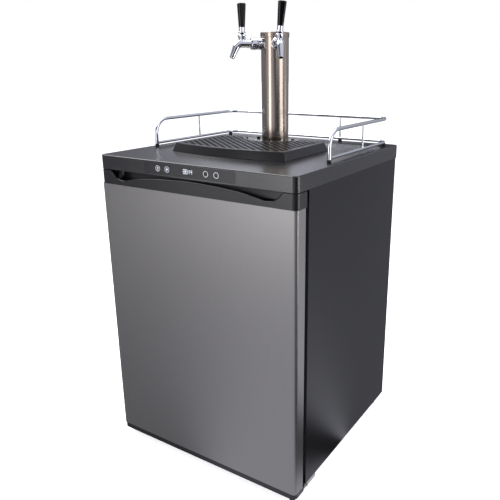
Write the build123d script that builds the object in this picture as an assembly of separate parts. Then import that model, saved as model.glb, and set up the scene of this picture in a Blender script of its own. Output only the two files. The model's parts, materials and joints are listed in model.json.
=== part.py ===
from build123d import *
import os
from math import asin, cos, degrees, pi, radians, sin, sqrt, tan

# A free-standing cooler for beer kegs with a draught tower and two taps.
# Millimetres. +X is the right-hand side seen from the front, +Y the back, +Z up.
# The origin lies on the floor, under the middle of the worktop.

# ---- clearances ----
fit_gap = 0.3  # between pieces of different bodies, and round loose pieces
running_gap = 0.05  # radial, a shaft in its bearing hole

# ---- worktop ----
worktop_width = 600.0
worktop_depth = 582.0
worktop_height = 846.0  # upper face above the floor
worktop_skirt = 36.5
worktop_wall = 3.0
worktop_corner = 14.0
worktop_edge_round = 3.0
line_hole_radius = 30.0  # lets the beer lines up into the tower
rib_thickness = 2.5
rib_height = 20.0
rib_x = 175.0

# ---- cabinet ----
cabinet_side_inset = 5.0
cabinet_front_setback = 61.6
cabinet_back_setback = 4.0
cabinet_ground_gap = 27.0
sheet = 1.0
base_pan_thickness = 1.5
steel_flange = 30.0
wall_insulation = 42.0
rear_insulation = 38.0
floor_insulation = 42.0
roof_insulation = 60.0
liner_wall = 1.5
floor_plate = 3.0
floor_plate_margin = 4.0
floor_plate_corner = 12.0
bay_depth = 155.0
bay_height = 205.0
step_insulation = 28.0

# ---- door ----
door_side_inset = 0.0  # from the worktop's sides
door_depth = 44.0
door_ground_gap = 22.0
door_top_gap = 2.1
door_corner = 14.0
door_skin_thickness = 1.0
door_skin_return = 38.2
door_top_cap_height = 36.5
door_bottom_cap_height = 14.6
liner_step_inset = 20.0
dyke_inset = 60.0
dyke_width = 20.0
dyke_depth = 26.0
gasket_width = 20.0
gasket_side_inset = 22.0
gasket_top_inset = 3.5
gasket_bottom_inset = 22.0

# ---- hand scoop in the door's top cap ----
scoop_end_inset = 38.0
scoop_depth = 28.0
scoop_front_wall = 7.0
scoop_rear_wall = 7.0
scoop_end_round = 14.0
# the front lip: share of the way out to the scoop's end, and depth below the cap's top
lip_dip = [(0.0, 3.4), (0.23, 5.0), (0.412, 7.6), (0.603, 12.6), (0.74, 19.0), (0.847, 23.2)]
lip_rise = [(0.908, 20.6), (0.966, 10.5)]

# ---- hinges and feet ----
hinge_inset_x = 22.0
hinge_inset_y = 24.0
hinge_pin_radius = 4.0
hinge_pin_length = 15.0
hinge_plate = 3.0
hinge_tongue = 4.0
hinge_tongue_gap = 3.0
hinge_bracket_reach = 55.0
hinge_bracket_width = 60.0
hinge_bracket_inset = 1.0  # from the cabinet's side
hinge_web_width = 40.0
hinge_tongue_width = 32.0
hinge_tongue_reach = 12.0  # past the pin
hinge_arm_width = 50.0
hinge_arm_inset = 2.0
hinge_bolt_across_flats = 8.0
hinge_bolt_head = 4.0
foot_pad_radius = 19.0
foot_pad_height = 8.0
foot_hex = 17.0
foot_hex_height = 5.0
foot_stud_radius = 5.0
foot_nut_height = 7.0
foot_stud_grip = 20.0
foot_inset_x = 33.0
foot_inset_front = 40.0
foot_inset_rear = 37.0
hinge_leg_radius = 6.5

# ---- control panel ----
bezel_width = 279.0
bezel_height = 27.0
bezel_drop = 18.5  # its middle below the worktop's upper face
bezel_rear_thickness = 2.0
bezel_rear_margin_x = 5.0
bezel_rear_margin_z = 1.5
display_width = 33.0
display_height = 13.0
display_ledge = 2.0
button_radius = 7.3
button_rim = 1.2
button_places = [-95.5, -65.6, 54.0, 84.9]
button_travel = 0.6
button_stem_radius = 2.5
board_width = 224.0
board_height = 22.0
board_thickness = 1.6
board_standoff = 11.0
board_post_radius = 3.0
board_post_x = 106.0
board_post_z = 7.0
switch_size = 6.0
switch_height = 4.0

# ---- draught tower ----
tower_setback = 386.0  # from the worktop's front edge to the column's axis
column_radius = 38.1
column_wall = 1.6
column_top = 308.0  # above the worktop, cap included
cap_height = 12.5
cap_radius = 39.7
cap_round = 1.5
flange_radius = 72.0
flange_height = 16.0
flange_round = 3.0
flange_spigot = 22.0
flange_screw_ring = 58.0
flange_screw_count = 4
flange_screw_radius = 3.0
flange_screw_head_radius = 4.6
flange_screw_head = 5.5
flange_screw_length = 18.0
sleeve_wall = 12.0
sleeve_top = 225.0

# ---- taps, measured out from the column's axis and from their own axis height ----
tap_height = 278.0  # axis above the worktop
tap_spread = 40.0  # degrees each side of straight ahead
tap_seat_height = 60.0  # how far up and down the column's curve is followed
shank_radius = 10.9
shank_bore = 5.0
shank_inner_end = 20.0
shank_collar_radius = 15.5
shank_collar_end = 50.0
shank_nut_hex = 27.0
shank_nut_thickness = 6.0
saddle_radius = 14.0
saddle_thickness = 4.5
coupling_radius = 16.0
coupling_start = 51.5
coupling_end = 68.5
coupling_chamfer = 2.0
coupling_lip = 5.0
spanner_hole_radius = 1.6
barrel_radius = 10.4
tail_radius = 8.0
tail_flange_radius = 10.4
tail_flange = 4.0
handle_reach = 93.0  # the lever's axis
elbow_start = 90.0
elbow_radius = 16.0
elbow_turn = 67.0  # degrees
spout_length = 33.0  # the straight part
spout_start_radius = 9.4
spout_tip_radius = 6.4
spout_bore = 4.2
nub_reach = 76.0
nub_radius = 2.2
nub_rise = 1.2
bonnet_bottom = 10.5
bonnet_top = 22.6
bonnet_bottom_radius = 8.2
bonnet_top_radius = 11.5
bonnet_rim = 2.0
bonnet_mouth_radius = 7.9
chamber_radius = 6.9
chamber_floor = 3.5
pivot_rise = 18.6  # the lever's pivot above the tap's axis
ball_radius = 6.5
lever_radius = 4.0
lever_stub = 9.0
lever_stub_radius = 2.2
ferrule_bottom = 26.9
ferrule_recess = 1.2
ferrule_recess_radius = 8.2
ferrule_ring_radius = 10.2
ferrule_ring = 3.0
ferrule_radius = 8.0
handle_bottom = 41.6
handle_top = 102.0
handle_bottom_width = 16.5
handle_top_width = 22.0
handle_corner = 4.0
handle_crown = 2.5
stud_grip = 12.0
lever_lean_out = 2.4
right_lever_lean_side = 3.5

# ---- guard rail ----
rail_side_inset = 24.0
rail_front_setback = 190.0
rail_back_setback = 555.5
rail_height = 76.0
rail_top_radius = 4.75
rail_front_bend = 44.0
rail_back_bend = 35.0
lower_rail_height = 10.5
lower_rail_radius = 4.0
rod_radius = 2.5
side_rod_setback = 380.0
back_rod_x = 124.0
rail_foot_radius = 5.6
rail_foot_seat = 2.0
rail_foot_height = 7.5
rear_foot_angle = 25.0  # round the rail's back bend, from the side

# ---- drip tray and its grille ----
tray_half_width = 181.0
tray_corner = 4.0
tray_corner_setback = 148.0
tray_front_setback = 125.0
tray_back_setback = 371.0
tray_height = 22.0
tray_slope = 20.0  # degrees from vertical, leaning in
tray_wall = 2.5
tray_floor = 2.5
tray_notch_radius = 83.0
grille_thickness = 3.0
grille_ledge = 1.3
grille_rim = 7.0
lattice_width = 24.0
lattice_depth = 20.0
lattice_bar = 4.2
tray_lift = 70.0

# ---- cooling unit ----
compressor_radius = 66.0
compressor_body_height = 95.0
compressor_dome = 26.0
compressor_side_inset = 175.0
compressor_foot_width = 190.0
compressor_foot_depth = 110.0
compressor_foot_thickness = 3.0
mount_radius = 11.0
mount_height = 18.0
mount_spacing_x = 164.0
mount_spacing_y = 84.0
vent_slot_length = 70.0
vent_slot_height = 5.0
vent_pitch = 14.0
vent_rows = 8
vent_side_inset = 75.0
vent_column_pitch = 110.0
vent_column_count = 4
inlet_side_inset = 70.0
inlet_drop = 60.0
inlet_width = 30.0
inlet_height = 22.0
inlet_depth = 24.0
inlet_flange_width = 52.0
inlet_flange_height = 28.0
inlet_recess_width = 24.0
inlet_recess_height = 16.5
inlet_recess_depth = 17.0

# ---- evaporator and fan ----
cooler_height = 200.0
cooler_depth = 60.0
cooler_top_gap = 25.0
cooler_side_inset = 35.5  # its side from the liner
cooler_regulator_gap = 17.0
cooler_wall = 2.5
fan_radius = 42.0
fan_mouth_radius = 46.0
fan_hub_radius = 13.0
fan_hub_length = 14.0
fan_blade_count = 7
fan_blade_pitch = 32.0
fan_blade_thickness = 1.6
fan_shaft_radius = 2.5
guard_ring_count = 3
guard_bar = 2.0
motor_radius = 18.0
motor_length = 22.0

# ---- gas cylinder and regulator ----
gas_radius = 66.5
gas_body_height = 300.0
gas_shoulder = 45.0
gas_neck_radius = 15.0
gas_side_inset = 100.5
valve_body_radius = 14.0
valve_body_height = 46.0
valve_outlet_height = 20.0
valve_outlet_reach = 30.0
valve_stem_radius = 3.5
wheel_radius = 19.0
wheel_thickness = 9.0
wheel_lobes = 8
regulator_nut = 14.0
regulator_stem = 16.0
regulator_radius = 24.0
regulator_length = 46.0
gauge_radius = 22.0
gauge_thickness = 18.0
gauge_rise = 44.0

# ---- levels and places that follow from the sizes above ----
front_y = -worktop_depth / 2
back_y = worktop_depth / 2
worktop_inside = worktop_height - worktop_wall
skirt_bottom = worktop_height - worktop_skirt
tower_y = front_y + tower_setback
tap_z = worktop_height + tap_height

cabinet_x = worktop_width / 2 - cabinet_side_inset
cabinet_front = front_y + cabinet_front_setback
cabinet_back = back_y - cabinet_back_setback
pan_bottom = cabinet_ground_gap
pan_top = pan_bottom + base_pan_thickness
foam_x = cabinet_x - sheet
foam_front = cabinet_front + sheet
foam_back = cabinet_back - sheet
foam_top = worktop_inside - sheet
cavity_x = foam_x - wall_insulation
cavity_back = foam_back - rear_insulation
cavity_floor = pan_top + floor_insulation
cavity_top = foam_top - roof_insulation
bay_front = foam_back - bay_depth
bay_top = pan_top + bay_height
step_front = bay_front - step_insulation
step_top = bay_top + step_insulation
liner_x = cavity_x - liner_wall
liner_floor = cavity_floor + liner_wall
liner_step_top = step_top + liner_wall
liner_step_front = step_front - liner_wall
liner_back = cavity_back - liner_wall
liner_top = cavity_top - liner_wall

door_x = worktop_width / 2 - door_side_inset
scoop_x = door_x - scoop_end_inset
rail_x = worktop_width / 2 - rail_side_inset
compressor_x = cabinet_x - compressor_side_inset
inlet_x = inlet_side_inset - cabinet_x
gas_x = gas_side_inset - liner_x
regulator_reach = valve_outlet_reach + regulator_nut + regulator_stem + regulator_radius
cooler_right = liner_x - cooler_side_inset
cooler_left = gas_x + regulator_reach + regulator_radius + cooler_regulator_gap
cooler_x = (cooler_left + cooler_right) / 2
door_back = front_y + door_depth
door_bottom = door_ground_gap
door_top = skirt_bottom - door_top_gap
skin_bottom = door_bottom + door_bottom_cap_height
skin_top = door_top - door_top_cap_height
gasket_back = cabinet_front - fit_gap
hinge_x = door_x - hinge_inset_x
hinge_y = front_y + hinge_inset_y
tongue_top = door_bottom - hinge_tongue_gap
tongue_bottom = tongue_top - hinge_tongue
bezel_z = worktop_height - bezel_drop
bezel_back = front_y + worktop_wall + bezel_rear_thickness
board_front = bezel_back + board_standoff


def block(x_range, y_range, z_range):
    lows = [min(pair) for pair in (x_range, y_range, z_range)]
    highs = [max(pair) for pair in (x_range, y_range, z_range)]
    middle = [(low + high) / 2 for low, high in zip(lows, highs)]
    return Pos(*middle) * Box(*[high - low for low, high in zip(lows, highs)])


def upright(radius, z_low, z_high, x=0.0, y=0.0):
    return Pos(x, y, (z_low + z_high) / 2) * Cylinder(radius, z_high - z_low)


def along_y(radius, y_low, y_high, x=0.0, z=0.0):
    return Pos(x, (y_low + y_high) / 2, z) * Rot(90, 0, 0) * Cylinder(radius, y_high - y_low)


def along_x(radius, x_low, x_high, y=0.0, z=0.0):
    return Pos((x_low + x_high) / 2, y, z) * Rot(0, 90, 0) * Cylinder(radius, x_high - x_low)


def turned(points):
    # a solid of revolution about Z from (radius, height) points
    outline = make_face(Polyline(*[(radius, 0, height) for radius, height in points], close=True))
    return revolve(outline, Axis.Z)


def hex_prism(across_flats, z_low, z_high, x=0.0, y=0.0):
    side = RegularPolygon(across_flats / 2, 6, major_radius=False)
    return Pos(x, y, z_low) * extrude(side, z_high - z_low)


# ======== worktop and control panel ========


def bezel_window(margin_x=0.0, margin_z=0.0):
    half_x = bezel_width / 2 + margin_x
    half_z = bezel_height / 2 + margin_z
    return (-half_x, half_x), (bezel_z - half_z, bezel_z + half_z)


def worktop_pocket():
    return RectangleRounded(
        worktop_width - 2 * worktop_wall,
        worktop_depth - 2 * worktop_wall,
        worktop_corner - worktop_wall,
    )


def nipped(piece):
    # the cabinet's rear corners are cut back where the worktop's pocket is rounded
    outside = block((-door_x, door_x), (front_y, back_y), (skirt_bottom - fit_gap, worktop_inside))
    pocket = Pos(0, 0, skirt_bottom - 1) * extrude(offset(worktop_pocket(), -fit_gap), worktop_skirt)
    return piece - (outside - pocket)


def make_worktop():
    outline = RectangleRounded(worktop_width, worktop_depth, worktop_corner)
    top = Pos(0, 0, skirt_bottom) * extrude(outline, worktop_skirt)
    top = fillet(top.faces().sort_by(Axis.Z)[-1].edges(), worktop_edge_round)
    top -= Pos(0, 0, skirt_bottom) * extrude(worktop_pocket(), worktop_skirt - worktop_wall)
    for x in (-rib_x, rib_x):
        top += block(
            (x - rib_thickness / 2, x + rib_thickness / 2),
            (front_y + worktop_wall, cabinet_front),
            (worktop_inside - rib_height, worktop_inside),
        )
    window_x, window_z = bezel_window(fit_gap, fit_gap)
    top -= block(window_x, (front_y - 1, front_y + worktop_wall), window_z)
    top -= upright(line_hole_radius, worktop_inside - 1, worktop_height + 1, 0, tower_y)
    for x, y in flange_screw_points():
        top -= upright(flange_screw_radius, worktop_inside - 1, worktop_height + 1, x, y)
    return top


def make_control_bezel():
    face_x, face_z = bezel_window()
    rear_x, rear_z = bezel_window(bezel_rear_margin_x, bezel_rear_margin_z)
    bezel = block(face_x, (front_y, front_y + worktop_wall), face_z)
    bezel += block(rear_x, (front_y + worktop_wall, bezel_back), rear_z)
    for x in button_places:
        bezel -= along_y(button_radius + fit_gap, front_y - 1, bezel_back + 1, x, bezel_z)
    window_half_x = display_width / 2 + fit_gap
    window_half_z = display_height / 2 + fit_gap
    bezel -= block(
        (-window_half_x, window_half_x),
        (front_y - 1, front_y + worktop_wall),
        (bezel_z - window_half_z, bezel_z + window_half_z),
    )
    bezel -= block(
        (-window_half_x + display_ledge, window_half_x - display_ledge),
        (front_y, bezel_back + 1),
        (bezel_z - window_half_z + display_ledge, bezel_z + window_half_z - display_ledge),
    )
    for x in (-board_post_x, board_post_x):
        for z in (bezel_z - board_post_z, bezel_z + board_post_z):
            bezel += along_y(board_post_radius, bezel_back, board_front, x, z)
    return bezel


def make_display_window():
    return block(
        (-display_width / 2, display_width / 2),
        (front_y, front_y + worktop_wall),
        (bezel_z - display_height / 2, bezel_z + display_height / 2),
    )


def make_control_board():
    board = block(
        (-board_width / 2, board_width / 2),
        (board_front, board_front + board_thickness),
        (bezel_z - board_height / 2, bezel_z + board_height / 2),
    )
    half = switch_size / 2
    for x in button_places:
        board += block(
            (x - half, x + half), (board_front - switch_height, board_front), (bezel_z - half, bezel_z + half)
        )
    lamp_x = display_width / 2 - display_ledge
    lamp_z = display_height / 2 - display_ledge
    board += block(
        (-lamp_x, lamp_x), (front_y + worktop_wall, board_front), (bezel_z - lamp_z, bezel_z + lamp_z)
    )
    return board


def make_button(x):
    rim_front = bezel_back + fit_gap
    stem_end = board_front - switch_height - button_travel - fit_gap
    button = along_y(button_radius, front_y, rim_front, x, bezel_z)
    front_edge = button.faces().sort_by(Axis.Y)[0].edges()
    button = fillet(front_edge, 0.4)
    button += along_y(button_radius + button_rim, rim_front, rim_front + 1.0, x, bezel_z)
    button += along_y(button_stem_radius, rim_front + 1.0, stem_end, x, bezel_z)
    return button


# ======== draught tower ========


def flange_screw_points():
    step = 2 * pi / flange_screw_count
    return [
        (flange_screw_ring * cos(i * step), tower_y + flange_screw_ring * sin(i * step))
        for i in range(flange_screw_count)
    ]


def make_tower_flange():
    flange_top = worktop_height + flange_height
    spigot_radius = column_radius - column_wall
    disc = upright(flange_radius, worktop_height, flange_top, 0, tower_y)
    disc = fillet(disc.faces().sort_by(Axis.Z)[-1].edges(), flange_round)
    disc += upright(spigot_radius, flange_top, flange_top + flange_spigot, 0, tower_y)
    disc -= upright(line_hole_radius, worktop_height - 1, flange_top + flange_spigot + 1, 0, tower_y)
    for x, y in flange_screw_points():
        disc -= upright(flange_screw_radius, worktop_height - 1, flange_top + 1, x, y)
    return disc


def make_flange_screws():
    seat = worktop_height + flange_height
    socket = hex_prism(4.0, seat + flange_screw_head / 2, seat + flange_screw_head)
    shaft = upright(flange_screw_radius, seat - flange_screw_length, seat)
    head = upright(flange_screw_head_radius, seat, seat + flange_screw_head)
    screw = shaft + fillet(head.faces().sort_by(Axis.Z)[-1].edges(), 0.8) - socket
    return [Pos(x, y, 0) * screw for x, y in flange_screw_points()]


def tap_place(side, height=tap_z):
    # a tap's own frame: X outwards along the shank, Z up, side -1 left and +1 right
    outwards = -90 + side * tap_spread
    return Pos(0, tower_y, height) * Rot(0, 0, outwards)


def make_tower_column():
    low = worktop_height + flange_height
    high = worktop_height + column_top - cap_height
    column = upright(column_radius, low, high, 0, tower_y)
    column -= upright(column_radius - column_wall, low - 1, high + 1, 0, tower_y)
    for side in (-1, 1):
        hole = along_x(shank_radius + fit_gap, shank_inner_end, column_radius + 2)
        column -= tap_place(side) * hole
    return column


def make_tower_cap():
    low = worktop_height + column_top - cap_height
    high = worktop_height + column_top
    cap = upright(cap_radius, low, high, 0, tower_y)
    cap = fillet(cap.faces().sort_by(Axis.Z)[-1].edges(), cap_round)
    plug = upright(column_radius - column_wall, low - 3, low, 0, tower_y)
    plug -= upright(column_radius - column_wall - 2, low - 4, low, 0, tower_y)
    return cap + plug


def make_tower_insulation():
    low = worktop_height + flange_height + flange_spigot
    high = worktop_height + sleeve_top
    outer = column_radius - column_wall
    sleeve = upright(outer, low, high, 0, tower_y)
    return sleeve - upright(outer - sleeve_wall, low - 1, high + 1, 0, tower_y)


# ======== taps, each built in its own frame ========


def column_at_tap(radius):
    return upright(radius, -tap_seat_height, tap_seat_height)


def make_shank():
    tail_start = coupling_end - coupling_lip - tail_flange
    shank = along_x(shank_radius, shank_inner_end, tail_start - fit_gap)
    collar = along_x(shank_collar_radius, 0, shank_collar_end)
    collar = chamfer(collar.faces().sort_by(Axis.X)[-1].edges(), 1.2)
    shank += collar - column_at_tap(column_radius)
    return shank - along_x(shank_bore, shank_inner_end - 1, tail_start + 1)


def make_shank_nut():
    saddle_face = column_radius - column_wall
    saddle_start = saddle_face - saddle_thickness - 3.0
    saddle = along_x(saddle_radius, saddle_start, saddle_face + 2) & column_at_tap(saddle_face - running_gap)
    nut = Rot(0, 90, 0) * hex_prism(shank_nut_hex, saddle_start - shank_nut_thickness, saddle_start)
    nut = nut + saddle
    return nut - along_x(shank_radius + running_gap, shank_inner_end - 10, saddle_face + 5)


def make_coupling_nut():
    nut = along_x(coupling_radius, coupling_start, coupling_end)
    nut = chamfer(nut.edges().filter_by(GeomType.CIRCLE), coupling_chamfer)
    nut -= along_x(shank_radius + 0.1, coupling_start - 1, coupling_end - coupling_lip)
    nut -= along_x(tail_radius + 0.1, coupling_start, coupling_end + 1)
    middle = (coupling_start + coupling_end) / 2
    for turn in range(4):
        spanner_hole = upright(spanner_hole_radius, coupling_radius - 4, coupling_radius + 2, middle)
        nut -= Rot(45 + 90 * turn, 0, 0) * spanner_hole
    return nut


def spout_solid(radii, overrun=0.0):
    # the barrel's end, an elbow and a straight spout; radii run from the barrel to the tip
    sections = [Plane(origin=(elbow_start - 4, 0, 0), z_dir=(1, 0, 0)) * Circle(radii[0])]
    steps = 4
    for step in range(steps + 1):
        turn = radians(elbow_turn * step / steps)
        x = elbow_start + elbow_radius * sin(turn)
        z = -elbow_radius * (1 - cos(turn))
        radius = radii[0] + (radii[1] - radii[0]) * step / steps
        sections.append(Plane(origin=(x, 0, z), z_dir=(cos(turn), 0, -sin(turn))) * Circle(radius))
    along = spout_length + overrun
    end = (x + along * cos(turn), 0, z - along * sin(turn))
    bend = loft(sections)
    tip = Plane(origin=end, z_dir=(cos(turn), 0, -sin(turn))) * Circle(radii[2])
    return bend + loft([sections[-1], tip], ruled=True)


def make_faucet():
    tail_start = coupling_end - coupling_lip - tail_flange
    faucet = along_x(tail_flange_radius, tail_start, tail_start + tail_flange)
    faucet += along_x(tail_radius, tail_start, coupling_end)
    barrel = along_x(barrel_radius, coupling_end, elbow_start)
    faucet += chamfer(barrel.faces().sort_by(Axis.X)[0].edges(), 1.0)
    faucet += spout_solid([barrel_radius, spout_start_radius, spout_tip_radius])
    faucet += upright(bonnet_bottom_radius, 0, bonnet_bottom, handle_reach)
    nub_height = barrel_radius + nub_rise
    nub = upright(nub_radius, -nub_height, nub_height, nub_reach)
    faucet += fillet(nub.edges().filter_by(GeomType.CIRCLE), 0.6)
    chamber = upright(chamber_radius, chamber_floor, bonnet_bottom + 1, handle_reach)
    inlet = along_x(shank_bore, tail_start - 1, handle_reach)
    faucet -= chamber + inlet
    return faucet - spout_solid([spout_bore, spout_bore, spout_bore], 1.0)


def make_bonnet():
    # a cup that widens upwards round the lever's ball
    bonnet = turned(
        [
            (chamber_radius, bonnet_bottom),
            (bonnet_bottom_radius, bonnet_bottom),
            (bonnet_top_radius, bonnet_top - bonnet_rim),
            (bonnet_top_radius - 0.2, bonnet_top - bonnet_rim + 0.7),
            (bonnet_top_radius - 1.5, bonnet_top),
            (bonnet_mouth_radius, bonnet_top),
            (chamber_radius, pivot_rise),
        ]
    )
    return Pos(handle_reach, 0, 0) * bonnet


def leaned(piece, side):
    lean_side = right_lever_lean_side if side > 0 else 0.0
    pivot = Pos(handle_reach, 0, pivot_rise)
    back = Pos(-handle_reach, 0, -pivot_rise)
    return pivot * Rot(0, lever_lean_out, 0) * Rot(-lean_side, 0, 0) * back * piece


def make_lever():
    ball = Pos(handle_reach, 0, pivot_rise) * Sphere(ball_radius)
    stub = upright(lever_stub_radius, pivot_rise - lever_stub, pivot_rise, handle_reach)
    neck = upright(lever_radius, pivot_rise, handle_bottom + stud_grip, handle_reach)
    return ball + stub + neck


def make_ferrule():
    ring_top = ferrule_bottom + ferrule_ring
    recess_top = ferrule_bottom + ferrule_recess
    ferrule = turned(
        [
            (lever_radius, recess_top),
            (ferrule_recess_radius, recess_top),
            (ferrule_recess_radius, ferrule_bottom),
            (ferrule_ring_radius - 0.9, ferrule_bottom),
            (ferrule_ring_radius, ferrule_bottom + 0.9),
            (ferrule_ring_radius, ring_top - 0.9),
            (ferrule_ring_radius - 0.9, ring_top),
            (ferrule_radius, ring_top + 0.6),
            (ferrule_radius, handle_bottom),
            (lever_radius, handle_bottom),
        ]
    )
    return Pos(handle_reach, 0, 0) * ferrule


def make_handle():
    shoulder = handle_top - handle_crown
    low = Pos(handle_reach, 0, handle_bottom) * RectangleRounded(
        handle_bottom_width, handle_bottom_width, handle_corner
    )
    high = Pos(handle_reach, 0, shoulder) * RectangleRounded(handle_top_width, handle_top_width, handle_corner)
    crown_width = handle_top_width - 2 * handle_crown
    crown = Pos(handle_reach, 0, handle_top) * RectangleRounded(crown_width, crown_width, handle_corner - 1.5)
    handle = loft([low, high], ruled=True) + loft([high, crown], ruled=True)
    return handle - upright(
        lever_radius + running_gap, handle_bottom - 1, handle_bottom + stud_grip, handle_reach
    )


# ======== guard rail ========


def rail_path(z):
    front = front_y + rail_front_setback
    back = front_y + rail_back_setback
    x = rail_x
    return [(-x, front, z), (-x, back, z), (x, back, z), (x, front, z)]


def make_guard_rail_top():
    corners = rail_path(worktop_height + rail_height)
    foot_z = worktop_height + rail_foot_seat
    start = (corners[0][0], corners[0][1], foot_z)
    end = (corners[-1][0], corners[-1][1], foot_z)
    bends = [rail_front_bend, rail_back_bend, rail_back_bend, rail_front_bend]
    path = FilletPolyline(start, *corners, end, radius=bends)
    section = Plane(origin=start, z_dir=(0, 0, 1)) * Circle(rail_top_radius)
    return sweep(section, path=path)


def make_guard_rail_lower(top_rail):
    corners = rail_path(worktop_height + lower_rail_height)
    path = FilletPolyline(*corners, radius=[rail_back_bend, rail_back_bend])
    section = Plane(origin=corners[0], z_dir=(0, 1, 0)) * Circle(lower_rail_radius)
    lower = sweep(section, path=path) - top_rail
    low_z = worktop_height + lower_rail_height
    high_z = worktop_height + rail_height
    side_y = front_y + side_rod_setback
    back = front_y + rail_back_setback
    places = [(-rail_x, side_y), (rail_x, side_y), (-back_rod_x, back), (back_rod_x, back)]
    rods = [upright(rod_radius, low_z, high_z, x, y) - top_rail - lower for x, y in places]
    return [lower] + rods


def make_rail_feet(top_rail, lower_rail):
    front = front_y + rail_front_setback
    back = front_y + rail_back_setback
    bend_x = rail_x - rail_back_bend * (1 - cos(radians(rear_foot_angle)))
    bend_y = back - rail_back_bend * (1 - sin(radians(rear_foot_angle)))
    places = [(-rail_x, front), (rail_x, front), (-bend_x, bend_y), (bend_x, bend_y)]
    places += [(-back_rod_x, back), (back_rod_x, back)]
    feet = []
    for x, y in places:
        foot = upright(rail_foot_radius, worktop_height, worktop_height + rail_foot_height, x, y)
        feet.append(foot - top_rail - lower_rail)
    return feet


# ======== drip tray ========


def tray_outline(inset, z):
    # bowed at the front, straight at the sides and the back
    x = tray_half_width - inset
    corner_y = front_y + tray_corner_setback + inset
    middle_y = front_y + tray_front_setback + inset
    rear_y = front_y + tray_back_setback - inset
    front = ThreePointArc((-x, corner_y), (0, middle_y), (x, corner_y))
    sides = Polyline((x, corner_y), (x, rear_y), (-x, rear_y), (-x, corner_y))
    outline = make_face(front + sides)
    return Pos(0, 0, z) * fillet(outline.vertices(), tray_corner)


def tray_block(inset, z_low, z_high):
    base = worktop_height + fit_gap
    lean = tan(radians(tray_slope))
    low = tray_outline(inset + (z_low - base) * lean, z_low)
    high = tray_outline(inset + (z_high - base) * lean, z_high)
    return loft([low, high], ruled=True)


def make_drip_tray():
    base = worktop_height + fit_gap
    top = worktop_height + tray_height
    ledge = top - grille_thickness
    tray = tray_block(0, base, top)
    pocket = tray_block(tray_wall + grille_ledge, base + tray_floor, top)
    seat = tray_block(tray_wall, ledge, top)
    tower_side = upright(tray_notch_radius + tray_wall + grille_ledge, base, top, 0, tower_y)
    tower_seat = upright(tray_notch_radius + tray_wall, base, top, 0, tower_y)
    tray -= pocket - tower_side
    tray -= seat - tower_seat
    return tray - upright(tray_notch_radius, base - 1, top + 1, 0, tower_y)


def lattice_diamonds(x_limit, y_low, y_high):
    # centres of the diamond-shaped holes, in two interleaved grids
    centres = []
    columns = int(x_limit / lattice_width) + 1
    rows = int((y_high - y_low) / lattice_depth) + 1
    for shift in (0.0, 0.5):
        for i in range(-columns, columns + 1):
            for j in range(rows + 1):
                centres.append(((i + shift) * lattice_width, y_low + (j + shift) * lattice_depth))
    return centres


def make_drip_grille():
    top = worktop_height + tray_height
    ledge = top - grille_thickness
    lean = tan(radians(tray_slope))
    inset = tray_wall + fit_gap + (top - worktop_height) * lean
    outline = tray_outline(inset, 0)
    notch = Pos(0, tower_y) * Circle(tray_notch_radius + tray_wall + fit_gap)
    window = tray_outline(inset + grille_rim, 0)
    window -= Pos(0, tower_y) * Circle(tray_notch_radius + tray_wall + grille_rim)
    half_x = (lattice_width - lattice_bar * sqrt(1 + (lattice_width / lattice_depth) ** 2)) / 2
    half_y = half_x * lattice_depth / lattice_width
    y_low = front_y + tray_front_setback
    holes = []
    for x, y in lattice_diamonds(tray_half_width, y_low, front_y + tray_back_setback):
        diamond = make_face(
            Polyline((x - half_x, y), (x, y - half_y), (x + half_x, y), (x, y + half_y), close=True)
        )
        for hole in (diamond & window).faces() if (diamond & window) else []:
            if hole.area > 0.2 * diamond.area:
                holes.append(hole.outer_wire())
    plate = outline - notch
    panels = [Face(face.outer_wire(), holes) for face in plate.faces()]
    grille = Pos(0, 0, ledge + fit_gap) * extrude(panels[0], grille_thickness - fit_gap)
    return grille


# ======== cabinet ========


def make_side_panel(side):
    outer = side * cabinet_x
    inner = side * (cabinet_x - sheet)
    flange_edge = side * (cabinet_x - steel_flange)
    panel = block((inner, outer), (cabinet_front, cabinet_back), (pan_top, worktop_inside))
    panel += block(
        (flange_edge, outer), (cabinet_front, cabinet_front + sheet), (pan_top, worktop_inside)
    )
    return nipped(panel)


def flange_opening_x():
    return cabinet_x - steel_flange


def make_front_rail():
    # steel cross rail over the door opening; it carries the upper hinge
    x = flange_opening_x()
    low = liner_top + liner_wall + 10
    rail = block((-x, x), (cabinet_front, cabinet_front + sheet), (low, worktop_inside))
    return rail + block((-x, x), (cabinet_front, cabinet_front + steel_flange), (foam_top, worktop_inside))


def make_base_pan():
    pan = block((-cabinet_x, cabinet_x), (cabinet_front, cabinet_back), (pan_bottom, pan_top))
    x = flange_opening_x()
    pan += block((-x, x), (cabinet_front, cabinet_front + sheet), (pan_top, pan_bottom + steel_flange))
    for x, y in pan_foot_places():
        pan += hex_prism(foot_hex, pan_bottom - foot_nut_height, pan_bottom, x, y)
        pan -= upright(
            foot_stud_radius + running_gap, pan_bottom - foot_nut_height - 1, pan_top + 1, x, y
        )
    return pan


def make_back_panel():
    return nipped(block((-foam_x, foam_x), (foam_back, cabinet_back), (bay_top, worktop_inside)))


def foot_places():
    x = cabinet_x - foot_inset_x
    front = cabinet_front + foot_inset_front
    rear = cabinet_back - foot_inset_rear
    return {
        "front_left": (-x, front),
        "front_right": (hinge_x, hinge_y),
        "rear_left": (-x, rear),
        "rear_right": (x, rear),
    }


def pan_foot_places():
    return [place for name, place in foot_places().items() if name != "front_right"]


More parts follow.
